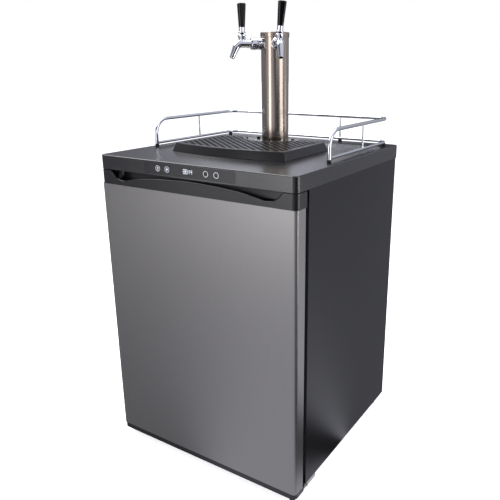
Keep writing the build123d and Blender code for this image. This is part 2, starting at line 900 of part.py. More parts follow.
def make_cabinet_insulation():
    foam = block((-foam_x, foam_x), (foam_front, foam_back), (pan_top, cavity_top))
    cavity = block((-cavity_x, cavity_x), (foam_front - 1, cavity_back), (cavity_floor, cavity_top + 1))
    cavity -= block((-cavity_x, cavity_x), (step_front, cavity_back), (cavity_floor, step_top))
    foam -= cavity
    foam -= block((-foam_x - 1, foam_x + 1), (bay_front, foam_back + 1), (pan_top - 1, bay_top))
    for x, y in pan_foot_places():
        foam -= upright(foot_stud_radius + 1.5, pan_top - 1, pan_top + foot_stud_grip + 4, x, y)
    return foam


def make_roof_insulation():
    roof = nipped(block((-foam_x, foam_x), (foam_front, foam_back), (cavity_top, foam_top)))
    return roof - upright(line_hole_radius, cavity_top - 1, foam_top + 1, 0, tower_y)


def make_inner_liner():
    front = cabinet_front
    outer = block((-cavity_x, cavity_x), (front, cavity_back), (cavity_floor, cavity_top))
    outer -= block((-cavity_x, cavity_x), (step_front, cavity_back), (cavity_floor, step_top))
    inner = block((-liner_x, liner_x), (front - 1, liner_back), (liner_floor, liner_top))
    inner -= block((-liner_x, liner_x), (liner_step_front, liner_back), (liner_floor, liner_step_top))
    lip_x = flange_opening_x()
    lip_z = (pan_bottom + steel_flange, liner_top + liner_wall + 10)
    lip = block((-lip_x, lip_x), (front, front + sheet), lip_z)
    liner = outer + lip - inner
    return liner - upright(line_hole_radius, liner_top - 1, cavity_top + 1, 0, tower_y)


def make_keg_floor_plate():
    # a stiff plate that spreads the weight of full kegs
    x = liner_x - floor_plate_margin
    plate = block(
        (-x, x), (cabinet_front, liner_step_front - floor_plate_margin), (liner_floor, liner_floor + floor_plate)
    )
    plate = fillet(plate.edges().filter_by(Axis.Z), floor_plate_corner)
    return chamfer(plate.faces().sort_by(Axis.Z)[-1].edges(), 1.0)


# ======== cooling unit ========


def make_bay_cover():
    cover = block((-foam_x, foam_x), (foam_back, cabinet_back), (pan_top, bay_top))
    middle = (pan_top + bay_top) / 2
    for column in range(vent_column_count):
        x = cabinet_x - vent_side_inset - column * vent_column_pitch
        for row in range(vent_rows):
            z = middle + (row - (vent_rows - 1) / 2) * vent_pitch
            slot = Rot(90, 0, 0) * extrude(SlotOverall(vent_slot_length, vent_slot_height), 4 * sheet)
            cover -= Pos(x, cabinet_back + sheet, z) * slot
    inlet_z = bay_top - inlet_drop
    return cover - block(
        (inlet_x - inlet_width / 2, inlet_x + inlet_width / 2),
        (foam_back - 1, cabinet_back + 1),
        (inlet_z - inlet_height / 2, inlet_z + inlet_height / 2),
    )


def make_power_inlet():
    z = bay_top - inlet_drop
    half_x, half_z = inlet_width / 2, inlet_height / 2
    inlet = block(
        (inlet_x - half_x, inlet_x + half_x), (cabinet_back - inlet_depth, cabinet_back), (z - half_z, z + half_z)
    )
    flange_x, flange_z = inlet_flange_width / 2, inlet_flange_height / 2
    flange = block(
        (inlet_x - flange_x, inlet_x + flange_x),
        (cabinet_back, cabinet_back + 2.0),
        (z - flange_z, z + flange_z),
    )
    inlet += fillet(flange.edges().filter_by(Axis.Y), 4.0)
    recess_x, recess_z = inlet_recess_width / 2, inlet_recess_height / 2
    recess = block(
        (inlet_x - recess_x, inlet_x + recess_x),
        (cabinet_back + 2.0 - inlet_recess_depth, cabinet_back + 3.0),
        (z - recess_z, z + recess_z),
    )
    upper_corners = recess.edges().filter_by(Axis.Y).sort_by(Axis.Z)[-2:]
    inlet -= chamfer(upper_corners, 5.0)
    for x, rise in ((-7.0, -3.0), (0.0, 3.0), (7.0, -3.0)):
        inlet += block(
            (inlet_x + x - 1.0, inlet_x + x + 1.0),
            (cabinet_back + 2.0 - inlet_recess_depth, cabinet_back - 3.0),
            (z + rise - 2.0, z + rise + 2.0),
        )
    return inlet


def compressor_place():
    return compressor_x, (bay_front + foam_back) / 2


def compressor_mount_points():
    x, y = compressor_place()
    half_x, half_y = mount_spacing_x / 2, mount_spacing_y / 2
    return [(x + i * half_x, y + j * half_y) for i in (-1, 1) for j in (-1, 1)]


def make_compressor():
    x, y = compressor_place()
    foot_z = pan_top + mount_height
    body_z = foot_z + compressor_foot_thickness
    radius = compressor_radius
    can = turned(
        [
            (0, body_z),
            (radius - 14, body_z),
            (radius - 2, body_z + 14),
            (radius, body_z + compressor_dome),
            (radius, body_z + compressor_body_height),
            (radius - 8, body_z + compressor_body_height + compressor_dome * 0.6),
            (radius - 30, body_z + compressor_body_height + compressor_dome),
            (0, body_z + compressor_body_height + compressor_dome + 4),
        ]
    )
    foot = Pos(0, 0, foot_z) * extrude(
        RectangleRounded(compressor_foot_width, compressor_foot_depth, 12), compressor_foot_thickness
    )
    relay = block((radius - 10, radius + 22), (-26, 26), (body_z + 35, body_z + 90))
    seam = upright(radius + 3, body_z + 50, body_z + 54)
    unit = Pos(x, y, 0) * (can + foot + relay + seam)
    for hole_x, hole_y in compressor_mount_points():
        unit -= upright(5.0, foot_z - 1, body_z + 1, hole_x, hole_y)
    return unit


def make_compressor_mounts():
    high = pan_top + mount_height
    grommet = turned(
        [
            (0, pan_top),
            (mount_radius, pan_top),
            (mount_radius, pan_top + 5),
            (mount_radius - 3, pan_top + 7),
            (mount_radius - 3, high - 5),
            (mount_radius, high - 3),
            (mount_radius, high),
            (4.9, high),
            (4.9, high + compressor_foot_thickness + 3),
            (0, high + compressor_foot_thickness + 3),
        ]
    )
    return [Pos(x, y, 0) * grommet for x, y in compressor_mount_points()]


# ======== evaporator cover and fan ========


def cooler_levels():
    high = liner_top - cooler_top_gap
    return high - cooler_height, high


def fan_centre():
    low, high = cooler_levels()
    return cooler_x, (low + high) / 2


def make_evaporator_cover():
    low, high = cooler_levels()
    front = liner_back - cooler_depth
    half = (cooler_right - cooler_left) / 2
    cover = block((cooler_x - half, cooler_x + half), (front, liner_back), (low, high))
    cover = fillet(cover.edges().filter_by(Axis.Y), 10.0)
    cover = fillet(cover.faces().sort_by(Axis.Y)[0].edges(), 6.0)
    cover -= block(
        (cooler_x - half + cooler_wall, cooler_x + half - cooler_wall),
        (front + cooler_wall, liner_back + 1),
        (low + cooler_wall, high - cooler_wall),
    )
    fan_x, fan_z = fan_centre()
    mouth = along_y(fan_mouth_radius, front - 1, front + cooler_wall, fan_x, fan_z)
    rings = []
    for i in range(guard_ring_count):
        radius = fan_mouth_radius * (i + 1) / (guard_ring_count + 1)
        ring = along_y(radius + guard_bar / 2, front, front + cooler_wall, fan_x, fan_z)
        rings.append(ring - along_y(radius - guard_bar / 2, front - 1, front + 9, fan_x, fan_z))
    for turn in range(3):
        bar = block(
            (-fan_mouth_radius - 1, fan_mouth_radius + 1), (front, front + cooler_wall), (-guard_bar, guard_bar)
        )
        rings.append(Pos(fan_x, 0, fan_z) * Rot(0, 60 * turn, 0) * bar)
    cover -= mouth
    cover += rings
    for side in (-1, 1):
        for row in range(4):
            x = fan_x + side * (fan_mouth_radius + 39.0)
            z = fan_z + (row - 1.5) * 12.0
            cover -= block((x - 20, x + 20), (front - 1, front + cooler_wall + 1), (z - 2, z + 2))
    return cover


def make_fan_motor():
    x, z = fan_centre()
    motor = along_y(motor_radius, liner_back - motor_length, liner_back, x, z)
    shaft_end = liner_back - motor_length - fan_hub_length - fit_gap + 1
    return motor + along_y(fan_shaft_radius, shaft_end, liner_back - motor_length, x, z)


def make_fan_rotor():
    x, z = fan_centre()
    hub_back = liner_back - motor_length - fit_gap
    hub_front = hub_back - fan_hub_length
    middle = (hub_back + hub_front) / 2
    rotor = along_y(fan_hub_radius, hub_front, hub_back, 0, 0)
    blade_start = fan_hub_radius - 2
    blade_length = fan_radius - blade_start
    blade = Box(fan_hub_length * 0.95, fan_blade_thickness, blade_length)
    blade = fillet(blade.edges().filter_by(Axis.Y).sort_by(Axis.Z)[-2:], 5.0)
    blade = Rot(0, 0, 90 - fan_blade_pitch) * blade
    blade = Pos(0, middle, blade_start + blade_length / 2) * blade
    for i in range(fan_blade_count):
        rotor += Rot(0, 360 * i / fan_blade_count, 0) * blade
    rotor -= along_y(fan_shaft_radius + running_gap, hub_front + 1 - running_gap, hub_back + 1, 0, 0)
    return Pos(x, 0, z) * rotor


# ======== gas cylinder and regulator ========


def gas_place():
    return gas_x, (liner_step_front + liner_back) / 2


def gas_levels():
    base = liner_step_top
    shoulder = base + gas_body_height
    return base, shoulder, shoulder + gas_shoulder


def make_gas_cylinder():
    x, y = gas_place()
    base, shoulder, neck = gas_levels()
    radius = gas_radius
    body = turned(
        [
            (0, base + 6),
            (radius - 22, base + 2),
            (radius - 16, base),
            (radius - 8, base),
            (radius - 2, base + 4),
            (radius, base + 12),
            (radius, shoulder),
            (radius - 4, shoulder + gas_shoulder * 0.35),
            (radius - 16, shoulder + gas_shoulder * 0.68),
            (radius - 34, shoulder + gas_shoulder * 0.88),
            (gas_neck_radius + 3, neck - 1),
            (gas_neck_radius, neck),
            (gas_neck_radius, neck + 8),
            (0, neck + 8),
        ]
    )
    return Pos(x, y, 0) * body


def make_gas_valve():
    x, y = gas_place()
    low = gas_levels()[2] + 8
    high = low + valve_body_height
    outlet_z = low + valve_outlet_height
    valve = upright(valve_body_radius, low, high - 10)
    valve += upright(valve_body_radius - 5, high - 10, high)
    valve += upright(valve_stem_radius, high, high + wheel_thickness - 1)
    valve += along_x(9.0, 0, valve_outlet_reach, 0, outlet_z)
    return Pos(x, y, 0) * valve


def make_valve_wheel():
    x, y = gas_place()
    low = gas_levels()[2] + 8 + valve_body_height + fit_gap
    wheel = upright(wheel_radius, low, low + wheel_thickness)
    for i in range(wheel_lobes):
        angle = 2 * pi * i / wheel_lobes
        wheel -= upright(
            4.0, low - 1, low + wheel_thickness + 1, (wheel_radius + 1) * cos(angle), (wheel_radius + 1) * sin(angle)
        )
    wheel -= upright(valve_stem_radius + running_gap, low - 1, low + wheel_thickness - 1.2)
    return Pos(x, y, 0) * wheel


def make_gas_regulator():
    x, y = gas_place()
    z = gas_levels()[2] + 8 + valve_outlet_height
    start = valve_outlet_reach
    centre = regulator_reach
    nut = Pos(start, 0, z) * Rot(0, 90, 0) * hex_prism(27.0, 0, regulator_nut)
    stem = along_x(6.0, start + regulator_nut, centre, 0, z)
    body = along_y(regulator_radius, -regulator_length / 2, regulator_length / 2 - 8, centre, z)
    knob = along_y(regulator_radius - 6, -regulator_length / 2 - 14, -regulator_length / 2, centre, z)
    knob = chamfer(knob.faces().sort_by(Axis.Y)[0].edges(), 2.0)
    regulator = nut + stem + body + knob
    gauge_places = [(centre, gauge_rise), (centre + gauge_rise, 0)]
    for gauge_x, rise in gauge_places:
        gauge = along_y(gauge_radius, -gauge_thickness / 2, gauge_thickness / 2, gauge_x, z + rise)
        dial = along_y(gauge_radius - 2, -gauge_thickness / 2 - 1, -gauge_thickness / 2 + 1.5, gauge_x, z + rise)
        regulator += gauge - dial
    regulator += upright(5.0, z - regulator_radius - 26, z, centre)
    return Pos(x, y, 0) * regulator


# ======== door ========


def door_profile(inset, depth):
    # rounded at the two front corners
    width = 2 * (door_x - inset)
    outline = Pos(0, front_y + inset + depth / 2) * Rectangle(width, depth)
    front_corners = outline.vertices().sort_by(Axis.Y)[:2]
    return fillet(front_corners, door_corner - inset)


def make_door_skin():
    height = skin_top - skin_bottom
    skin = extrude(door_profile(0, door_skin_return), height)
    skin -= extrude(door_profile(door_skin_thickness, door_skin_return), height)
    return Pos(0, 0, skin_bottom) * skin


def door_liner_front():
    return front_y + door_skin_return - liner_wall


def make_door_liner():
    # a formed sheet: a flange behind the skin, a step that carries the gasket, and a dyke
    x = door_x - door_skin_thickness
    step_x = door_x - liner_step_inset
    flange_back = front_y + door_skin_return
    step_low = skin_bottom + liner_wall
    liner = block((-x, x), (door_liner_front(), flange_back), (skin_bottom, skin_top))
    liner += block((-step_x, step_x), (flange_back, door_back), (skin_bottom, skin_top))
    liner -= block(
        (-step_x + liner_wall, step_x - liner_wall),
        (door_liner_front() - 1, door_back - liner_wall),
        (step_low, skin_top - liner_wall),
    )
    ring_x = door_x - dyke_inset
    ring_low = liner_floor + 14
    ring_high = skin_top - 8
    ring = block((-ring_x, ring_x), (door_back, door_back + dyke_depth), (ring_low, ring_high))
    ring = fillet(ring.edges().filter_by(Axis.Y), 16.0)
    inner = block(
        (-ring_x + dyke_width, ring_x - dyke_width),
        (door_back - 1, door_back + dyke_depth + 1),
        (ring_low + dyke_width, ring_high - dyke_width),
    )
    ring -= fillet(inner.edges().filter_by(Axis.Y), 8.0)
    return liner + fillet(ring.faces().sort_by(Axis.Y)[-1].edges(), 4.0)


def make_door_foam():
    depth = door_skin_return - door_skin_thickness - liner_wall
    foam = extrude(door_profile(door_skin_thickness, depth), skin_top - skin_bottom)
    foam = Pos(0, 0, skin_bottom) * foam
    step_x = door_x - liner_step_inset - liner_wall
    return foam + block(
        (-step_x, step_x),
        (door_liner_front(), door_back - liner_wall),
        (skin_bottom + liner_wall, skin_top - liner_wall),
    )


def lip_height(dip):
    return door_top - dip


def lip_cut():
    # the front wall is cut down along a shallow dip that deepens into a scoop at each end
    dip = [(share * scoop_x, lip_height(drop)) for share, drop in lip_dip]
    rise = [(share * scoop_x, lip_height(drop)) for share, drop in lip_rise]
    end = (scoop_x, door_top)
    right = dip + rise + [end]
    left = [(-x, z) for x, z in reversed(right)][:-1]
    curve = Spline(*[(x, 0, z) for x, z in left + right])
    over = door_top + 2
    rim = Polyline(
        (scoop_x, 0, door_top),
        (scoop_x, 0, over),
        (-scoop_x, 0, over),
        (-scoop_x, 0, door_top),
    )
    return make_face(curve + rim)


def make_door_top_cap():
    cap = extrude(door_profile(0, door_depth), door_top_cap_height)
    cap = Pos(0, 0, skin_top) * cap
    hollow_y = (front_y + scoop_front_wall, door_back - scoop_rear_wall)
    hollow = block((-scoop_x, scoop_x), hollow_y, (door_top - scoop_depth, door_top + 1))
    hollow = fillet(hollow.edges().filter_by(Axis.Z), scoop_end_round)
    hollow = fillet(hollow.faces().sort_by(Axis.Z)[0].edges(), 6.0)
    cap -= hollow
    front_cut = Pos(0, hollow_y[0] + 5, 0) * extrude(lip_cut(), scoop_front_wall + 6, dir=(0, -1, 0))
    cap -= front_cut
    bore_floor = door_top - hinge_pin_length - 2
    return cap - upright(hinge_pin_radius + running_gap, bore_floor, door_top + 1, hinge_x, hinge_y)


def make_door_bottom_cap():
    cap = extrude(door_profile(0, door_depth), door_bottom_cap_height)
    cap = Pos(0, 0, door_bottom) * cap
    return cap - upright(
        hinge_pin_radius + running_gap, door_bottom - 1, skin_bottom + 1, hinge_x, hinge_y
    )


def make_door_gasket():
    x = door_x - gasket_side_inset
    low = door_bottom + gasket_bottom_inset
    high = door_top - gasket_top_inset
    inner_x = x - gasket_width
    gasket = block((-x, x), (door_back, gasket_back), (low, high))
    gasket -= block(
        (-inner_x, inner_x), (door_back - 1, gasket_back + 1), (low + gasket_width, high - gasket_width)
    )
    # a groove between the magnet strip and the bellows
    groove_y = door_back + (gasket_back - door_back) * 0.55
    groove = block((-x - 1, x + 1), (groove_y, groove_y + 3), (low - 1, high + 1))
    groove -= block((-x + 4, x - 4), (groove_y - 1, groove_y + 4), (low + 4, high - 4))
    return gasket - groove


# ======== hinges and feet ========


def hinge_bolt(length=hinge_bolt_head):
    return hex_prism(hinge_bolt_across_flats, 0, length)


def make_hinge_lower():
    right = cabinet_x - hinge_bracket_inset
    left = right - hinge_bracket_width
    web_back = cabinet_front
    web_front = web_back - hinge_plate
    reach = web_back + hinge_bracket_reach
    plate_bottom = pan_bottom - hinge_plate
    bracket = block((left, right), (web_front, reach), (plate_bottom, pan_bottom))
    bracket += block((right - hinge_web_width, right), (web_front, web_back), (tongue_bottom, pan_bottom))
    tongue_front = hinge_y - hinge_tongue_reach
    tongue = block((right - hinge_tongue_width, right), (tongue_front, web_back), (tongue_bottom, tongue_top))
    bracket += fillet(tongue.edges().filter_by(Axis.Z).sort_by(Axis.Y)[:2], hinge_tongue_reach * 0.6)
    bracket += block((right - hinge_plate, right), (web_front, reach), (tongue_bottom, plate_bottom))
    bracket += upright(hinge_pin_radius + 3, tongue_top, tongue_top + 1.5, hinge_x, hinge_y)
    pin_top = door_bottom + hinge_pin_length - 1.5
    bracket += upright(hinge_pin_radius, tongue_top, pin_top, hinge_x, hinge_y)
    bracket -= upright(foot_stud_radius + running_gap, tongue_bottom - 1, tongue_top, hinge_x, hinge_y)
    near, far = web_back + hinge_bracket_reach / 4, web_back + hinge_bracket_reach * 3 / 4
    outer, inner = right - hinge_bracket_width / 4, right - hinge_bracket_width * 3 / 4
    places = [(inner, near), (outer, near), (inner, far)]
    bolts = [Pos(x, y, plate_bottom - hinge_bolt_head) * hinge_bolt() for x, y in places]
    side_place = Pos(right, web_back + hinge_bracket_reach / 8, (tongue_bottom + pan_bottom) / 2)
    return [bracket] + bolts + [side_place * Rot(0, 90, 0) * hinge_bolt(hinge_bolt_head - 1)]


def make_hinge_upper():
    right = cabinet_x - hinge_arm_inset
    left = right - hinge_arm_width
    back = cabinet_front
    low = skirt_bottom + hinge_arm_inset
    leg = block((left, right), (back - hinge_plate, back), (low, worktop_inside - hinge_plate))
    arm = block((hinge_x - hinge_tongue_reach, right), (hinge_y - hinge_tongue_reach, back), (low, low + hinge_plate))
    arm = fillet(arm.edges().filter_by(Axis.Z).sort_by(Axis.Y)[:2], hinge_tongue_reach / 2)
    pin = upright(hinge_pin_radius, door_top - hinge_pin_length, low, hinge_x, hinge_y)
    bolt_z = (low + worktop_inside) / 2 + hinge_plate
    places = [left + hinge_arm_width * share for share in (0.25, 0.7)]
    bolts = [Pos(x, back - hinge_plate, bolt_z) * Rot(90, 0, 0) * hinge_bolt() for x in places]
    return [leg + arm + pin] + bolts


def make_pan_foot(x, y):
    hex_top = foot_pad_height + foot_hex_height
    stud_top = pan_top + foot_stud_grip
    foot = turned(
        [
            (0, 0),
            (foot_pad_radius - 1, 0),
            (foot_pad_radius, 1),
            (foot_pad_radius, 3),
            (foot_hex / 2 + 2, foot_pad_height),
            (0, foot_pad_height),
        ]
    )
    foot += hex_prism(foot_hex, foot_pad_height, hex_top)
    foot += upright(foot_stud_radius, hex_top, stud_top)
    return Pos(x, y, 0) * foot


def make_hinge_foot(x, y):
    # a short leg that screws into the hinge bracket's tongue, in line with the hinge pin
    leg_top = tongue_bottom - 3.0
    foot = turned(
        [
            (0, 0),
            (hinge_leg_radius + 1.0, 0),
            (hinge_leg_radius + 1.0, 2),
            (hinge_leg_radius, 3.5),
            (hinge_leg_radius, leg_top),
            (0, leg_top),
        ]
    )
    foot += upright(foot_stud_radius, leg_top, tongue_top - fit_gap)
    return Pos(x, y, 0) * foot


# ======== every piece by name ========


def make_all():
    pieces = {}
    pieces["worktop"] = make_worktop()
    pieces["control_bezel"] = make_control_bezel()
    pieces["display_window"] = make_display_window()
    pieces["control_board"] = make_control_board()
    for number, x in enumerate(button_places, start=1):
        pieces[f"button_{number}"] = make_button(x)

    pieces["tower_flange"] = make_tower_flange()
    pieces["flange_screws"] = make_flange_screws()
    pieces["tower_column"] = make_tower_column()
    pieces["tower_cap"] = make_tower_cap()
    pieces["tower_insulation"] = make_tower_insulation()

    sides = {"left": -1, "right": 1}
    for name, maker in (
        ("shanks", make_shank),
        ("shank_nuts", make_shank_nut),
        ("coupling_nuts", make_coupling_nut),
        ("bonnets", make_bonnet),
    ):
        pieces[name] = [tap_place(side) * maker() for side in sides.values()]
    for name, side in sides.items():
        pieces[f"faucet_{name}"] = tap_place(side) * make_faucet()
        lever = [make_lever(), make_ferrule()]
        pieces[f"lever_{name}"] = [tap_place(side) * leaned(piece, side) for piece in lever]
        pieces[f"handle_{name}"] = tap_place(side) * leaned(make_handle(), side)

    top_rail = make_guard_rail_top()
    lower_rail = make_guard_rail_lower(top_rail)
    pieces["guard_rail_top"] = top_rail
    pieces["guard_rail_lower"] = lower_rail
    pieces["rail_feet"] = make_rail_feet(top_rail, lower_rail[0])
    pieces["drip_tray"] = make_drip_tray()
    pieces["drip_grille"] = make_drip_grille()

    for name, side in sides.items():
        pieces[f"side_panel_{name}"] = make_side_panel(side)
    pieces["front_rail"] = make_front_rail()
    pieces["back_panel"] = make_back_panel()
    pieces["base_pan"] = make_base_pan()
    pieces["cabinet_insulation"] = make_cabinet_insulation()
    pieces["roof_insulation"] = make_roof_insulation()
    pieces["inner_liner"] = make_inner_liner()
    pieces["keg_floor_plate"] = make_keg_floor_plate()
    pieces["bay_cover"] = make_bay_cover()
    pieces["power_inlet"] = make_power_inlet()
    pieces["compressor"] = make_compressor()
    pieces["compressor_mounts"] = make_compressor_mounts()
    pieces["evaporator_cover"] = make_evaporator_cover()
    pieces["fan_motor"] = make_fan_motor()
    pieces["fan_rotor"] = make_fan_rotor()

    pieces["gas_cylinder"] = make_gas_cylinder()
    pieces["gas_valve"] = make_gas_valve()
    pieces["valve_wheel"] = make_valve_wheel()
    pieces["gas_regulator"] = make_gas_regulator()

    pieces["door_skin"] = make_door_skin()
    pieces["door_foam"] = make_door_foam()
    pieces["door_top_cap"] = make_door_top_cap()
    pieces["door_bottom_cap"] = make_door_bottom_cap()
    pieces["door_liner"] = make_door_liner()
    pieces["door_gasket"] = make_door_gasket()

    pieces["hinge_lower"] = make_hinge_lower()
    pieces["hinge_upper"] = make_hinge_upper()
    for name, (x, y) in foot_places().items():
        maker = make_hinge_foot if name == "front_right" else make_pan_foot
        pieces[f"foot_{name}"] = maker(x, y)
    return pieces


def write_all(pieces):
    os.makedirs("parts", exist_ok=True)
    for name, piece in pieces.items():
        solids = piece if isinstance(piece, list) else [piece]
        shape = Compound(children=[solid for part in solids for solid in part.solids()])
        export_step(shape, os.path.join("parts", name + ".step"))


write_all(make_all())
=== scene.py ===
import bpy
import bmesh
import json
import math
from mathutils import Matrix, Vector

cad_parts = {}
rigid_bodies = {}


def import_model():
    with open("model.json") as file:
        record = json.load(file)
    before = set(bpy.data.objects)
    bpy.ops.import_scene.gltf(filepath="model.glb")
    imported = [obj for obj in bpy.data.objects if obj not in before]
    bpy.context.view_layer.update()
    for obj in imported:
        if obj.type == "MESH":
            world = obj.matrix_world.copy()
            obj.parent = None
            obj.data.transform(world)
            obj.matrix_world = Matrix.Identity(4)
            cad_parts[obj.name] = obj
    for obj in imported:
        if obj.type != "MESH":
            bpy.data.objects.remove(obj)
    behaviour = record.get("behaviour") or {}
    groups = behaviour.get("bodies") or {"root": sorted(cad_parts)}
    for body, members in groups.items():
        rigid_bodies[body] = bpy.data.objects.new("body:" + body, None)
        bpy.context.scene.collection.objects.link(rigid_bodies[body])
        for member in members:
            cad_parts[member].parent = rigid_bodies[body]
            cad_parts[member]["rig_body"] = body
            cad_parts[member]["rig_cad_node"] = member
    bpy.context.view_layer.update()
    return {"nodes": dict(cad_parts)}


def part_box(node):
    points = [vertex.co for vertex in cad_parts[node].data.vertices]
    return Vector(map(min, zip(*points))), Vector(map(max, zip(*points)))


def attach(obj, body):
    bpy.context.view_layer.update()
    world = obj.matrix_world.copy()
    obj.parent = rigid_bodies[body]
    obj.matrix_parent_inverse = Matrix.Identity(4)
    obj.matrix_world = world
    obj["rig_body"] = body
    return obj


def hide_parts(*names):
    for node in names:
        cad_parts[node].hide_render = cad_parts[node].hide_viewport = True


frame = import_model()
mm = 0.001
print("frame loaded:", len(frame["nodes"]), "nodes")


# small helpers for modelling, which take lengths in mm

mergeGap = 0.002  # corners closer than this become one
cadMergeGap = 0.005
cadFlatness = 0.5  # degrees between a solid's triangles that lie in one face
aligned = 0.9  # a direction with more than this along an axis runs that way
cornerReach = 0.5  # how near a corner a point is picked


def editMode():
    bpy.ops.object.mode_set(mode="EDIT")


def objectMode():
    bpy.ops.object.mode_set(mode="OBJECT")


def selectAll():
    bpy.ops.mesh.select_all(action="SELECT")


def clearSelection():
    if bpy.context.mode != "OBJECT":
        objectMode()
    bpy.ops.object.select_all(action="DESELECT")


def activate(piece):
    clearSelection()
    piece.select_set(True)
    bpy.context.view_layer.objects.active = piece


def named(name):
    piece = bpy.context.object
    piece.name = name
    piece.data.name = name
    return piece


def settle(piece, place=None):
    # moves a piece to its place and writes that into its mesh
    activate(piece)
    if place is not None:
        piece.matrix_world = place @ piece.matrix_world
    bpy.ops.object.transform_apply(location=True, rotation=True, scale=True)
    return piece


def shift(x=0.0, y=0.0, z=0.0):
    return Matrix.Translation(Vector((x, y, z)) * mm)


def pick(kind, test):
    # selects faces by centre and normal, edges by middle and direction, or points by place
    bpy.ops.mesh.select_mode(type=kind)
    bpy.ops.mesh.select_all(action="DESELECT")
    mesh = bmesh.from_edit_mesh(bpy.context.object.data)
    if kind == "FACE":
        chosen = [f for f in mesh.faces if test(f.calc_center_median() / mm, f.normal)]
    elif kind == "EDGE":
        chosen = []
        for edge in mesh.edges:
            start, end = (corner.co / mm for corner in edge.verts)
            if test((start + end) / 2, (end - start).normalized()):
                chosen.append(edge)
    else:
        chosen = [v for v in mesh.verts if test(v.co / mm)]
    for part in chosen:
        part.select_set(True)
    bmesh.update_edit_mesh(bpy.context.object.data)


def addBox(name, low, high):
    clearSelection()
    low, high = Vector(low) * mm, Vector(high) * mm
    bpy.ops.mesh.primitive_cube_add(size=1, location=(low + high) / 2, scale=high - low)
    return settle(named(name))


def addRod(name, radius, start, end, sides=48):
    clearSelection()
    start, end = Vector(start) * mm, Vector(end) * mm
    bpy.ops.mesh.primitive_cylinder_add(vertices=sides, radius=radius * mm,
        depth=(end - start).length, location=(start + end) / 2,
        rotation=(end - start).to_track_quat("Z", "Y").to_euler())
    return settle(named(name))


def extrudeUp(rise):
    # carries the chosen faces up
    bpy.ops.mesh.extrude_region_move(TRANSFORM_OT_translate={"value": (0, 0, rise * mm)})


def startPoint(name):
    # a single point at the origin, left in edit mode
    clearSelection()
    bpy.ops.mesh.primitive_plane_add(size=mm)
    piece = named(name)
    editMode()
    bpy.ops.mesh.select_mode(type="VERT")
    selectAll()
    bpy.ops.mesh.merge(type="CENTER")
    return piece


def mend(piece):
    # merges loose corners and turns the faces outwards
    activate(piece)
    editMode()
    selectAll()
    bpy.ops.mesh.remove_doubles(threshold=mergeGap * mm)
    bpy.ops.mesh.normals_make_consistent(inside=False)
    objectMode()
    return piece


def spinProfile(name, profile, sides=64, centre=(0, 0, 0)):
    # profile holds pairs of radius and height, spun about an upright axis
    piece = startPoint(name)
    here = Vector((0, 0))
    for index, point in enumerate(profile):
        step = (Vector(point) - here) * mm
        move = {"value": (step.x, 0, step.y)}
        if index == 0:
            bpy.ops.transform.translate(**move)
        else:
            bpy.ops.mesh.extrude_vertices_move(TRANSFORM_OT_translate=move)
        here = Vector(point)
    selectAll()
    bpy.ops.mesh.spin(steps=sides, angle=2 * math.pi, center=(0, 0, 0), axis=(0, 0, 1))
    return settle(mend(piece), shift(*centre))


def bendRod(name, corners, bends, radius, sides, bendSteps):
    # a round bar along straight runs, with each inner corner bent to a radius
    piece = startPoint(name)
    bpy.ops.transform.translate(value=Vector(corners[0]) * mm)
    for before, after in zip(corners, corners[1:]):
        step = (Vector(after) - Vector(before)) * mm
        bpy.ops.mesh.extrude_vertices_move(TRANSFORM_OT_translate={"value": step})
    for corner, bend in zip(corners[1:-1], bends):
        pick("VERT", lambda p: (p - Vector(corner)).length < cornerReach)
        bpy.ops.mesh.bevel(affect="VERTICES", offset=bend * mm, segments=bendSteps, profile=0.5)
    objectMode()
    bpy.ops.object.convert(target="CURVE")
    piece = bpy.context.object
    piece.data.bevel_depth = radius * mm
    piece.data.bevel_resolution = sides // 4 - 1
    piece.data.use_fill_caps = True
    bpy.ops.object.convert(target="MESH")
    return mend(named(name))


def applyModifier(piece, kind, **settings):
    activate(piece)
    modifier = piece.modifiers.new(kind, kind)
    for field, value in settings.items():
        setattr(modifier, field, value)
    bpy.ops.object.modifier_apply(modifier=kind)


def combine(piece, tool, operation):
    applyModifier(piece, "BOOLEAN", operation=operation, solver="EXACT", object=tool)
    bpy.data.objects.remove(tool)
    return piece


def cut(piece, tool):
    return combine(piece, tool, "DIFFERENCE")


def weld(piece, tool):
    return combine(piece, tool, "UNION")


def join(name, pieces):
    clearSelection()
    for piece in pieces:
        piece.select_set(True)
    bpy.context.view_layer.objects.active = pieces[0]
    bpy.ops.object.join()
    return named(name)


def copyOf(piece, name):
    activate(piece)
    bpy.ops.object.duplicate(linked=False)
    return named(name)


def copyNode(node, name):
    # a free copy of a solid's mesh, with its flat faces made whole again
    piece = copyOf(frame["nodes"][node], name)
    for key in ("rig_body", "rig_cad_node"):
        if key in piece:
            del piece[key]
    bpy.ops.object.parent_clear(type="CLEAR_KEEP_TRANSFORM")
    activate(piece)
    editMode()
    selectAll()
    bpy.ops.mesh.remove_doubles(threshold=cadMergeGap * mm)
    bpy.ops.mesh.dissolve_limited(angle_limit=math.radians(cadFlatness))
    objectMode()
    return piece


def softenEdges(piece, width, steps=2, limit=40):
    # bevels what is sharper than the limit in degrees
    settings = {"limit_method": "ANGLE", "angle_limit": math.radians(limit)}
    applyModifier(piece, "BEVEL", width=width * mm, segments=steps, **settings)
    return piece


def finish(piece, body, finishName, replaces=(), smoothAngle=35, even=False):
    # shades a piece, gives it its finish and lets it ride on its body
    activate(piece)
    bpy.ops.object.shade_smooth_by_angle(angle=math.radians(smoothAngle))
    if even:
        applyModifier(piece, "WEIGHTED_NORMAL", keep_sharp=True)
    piece.data.materials.clear()
    piece.data.materials.append(finishes[finishName])
    clearSelection()
    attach(piece, body)
    if replaces:
        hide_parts(*replaces)


# materials

grainDetail = 3.0
grainRange = (0.3, 0.7)  # the part of the noise that is spread over roughness and tint


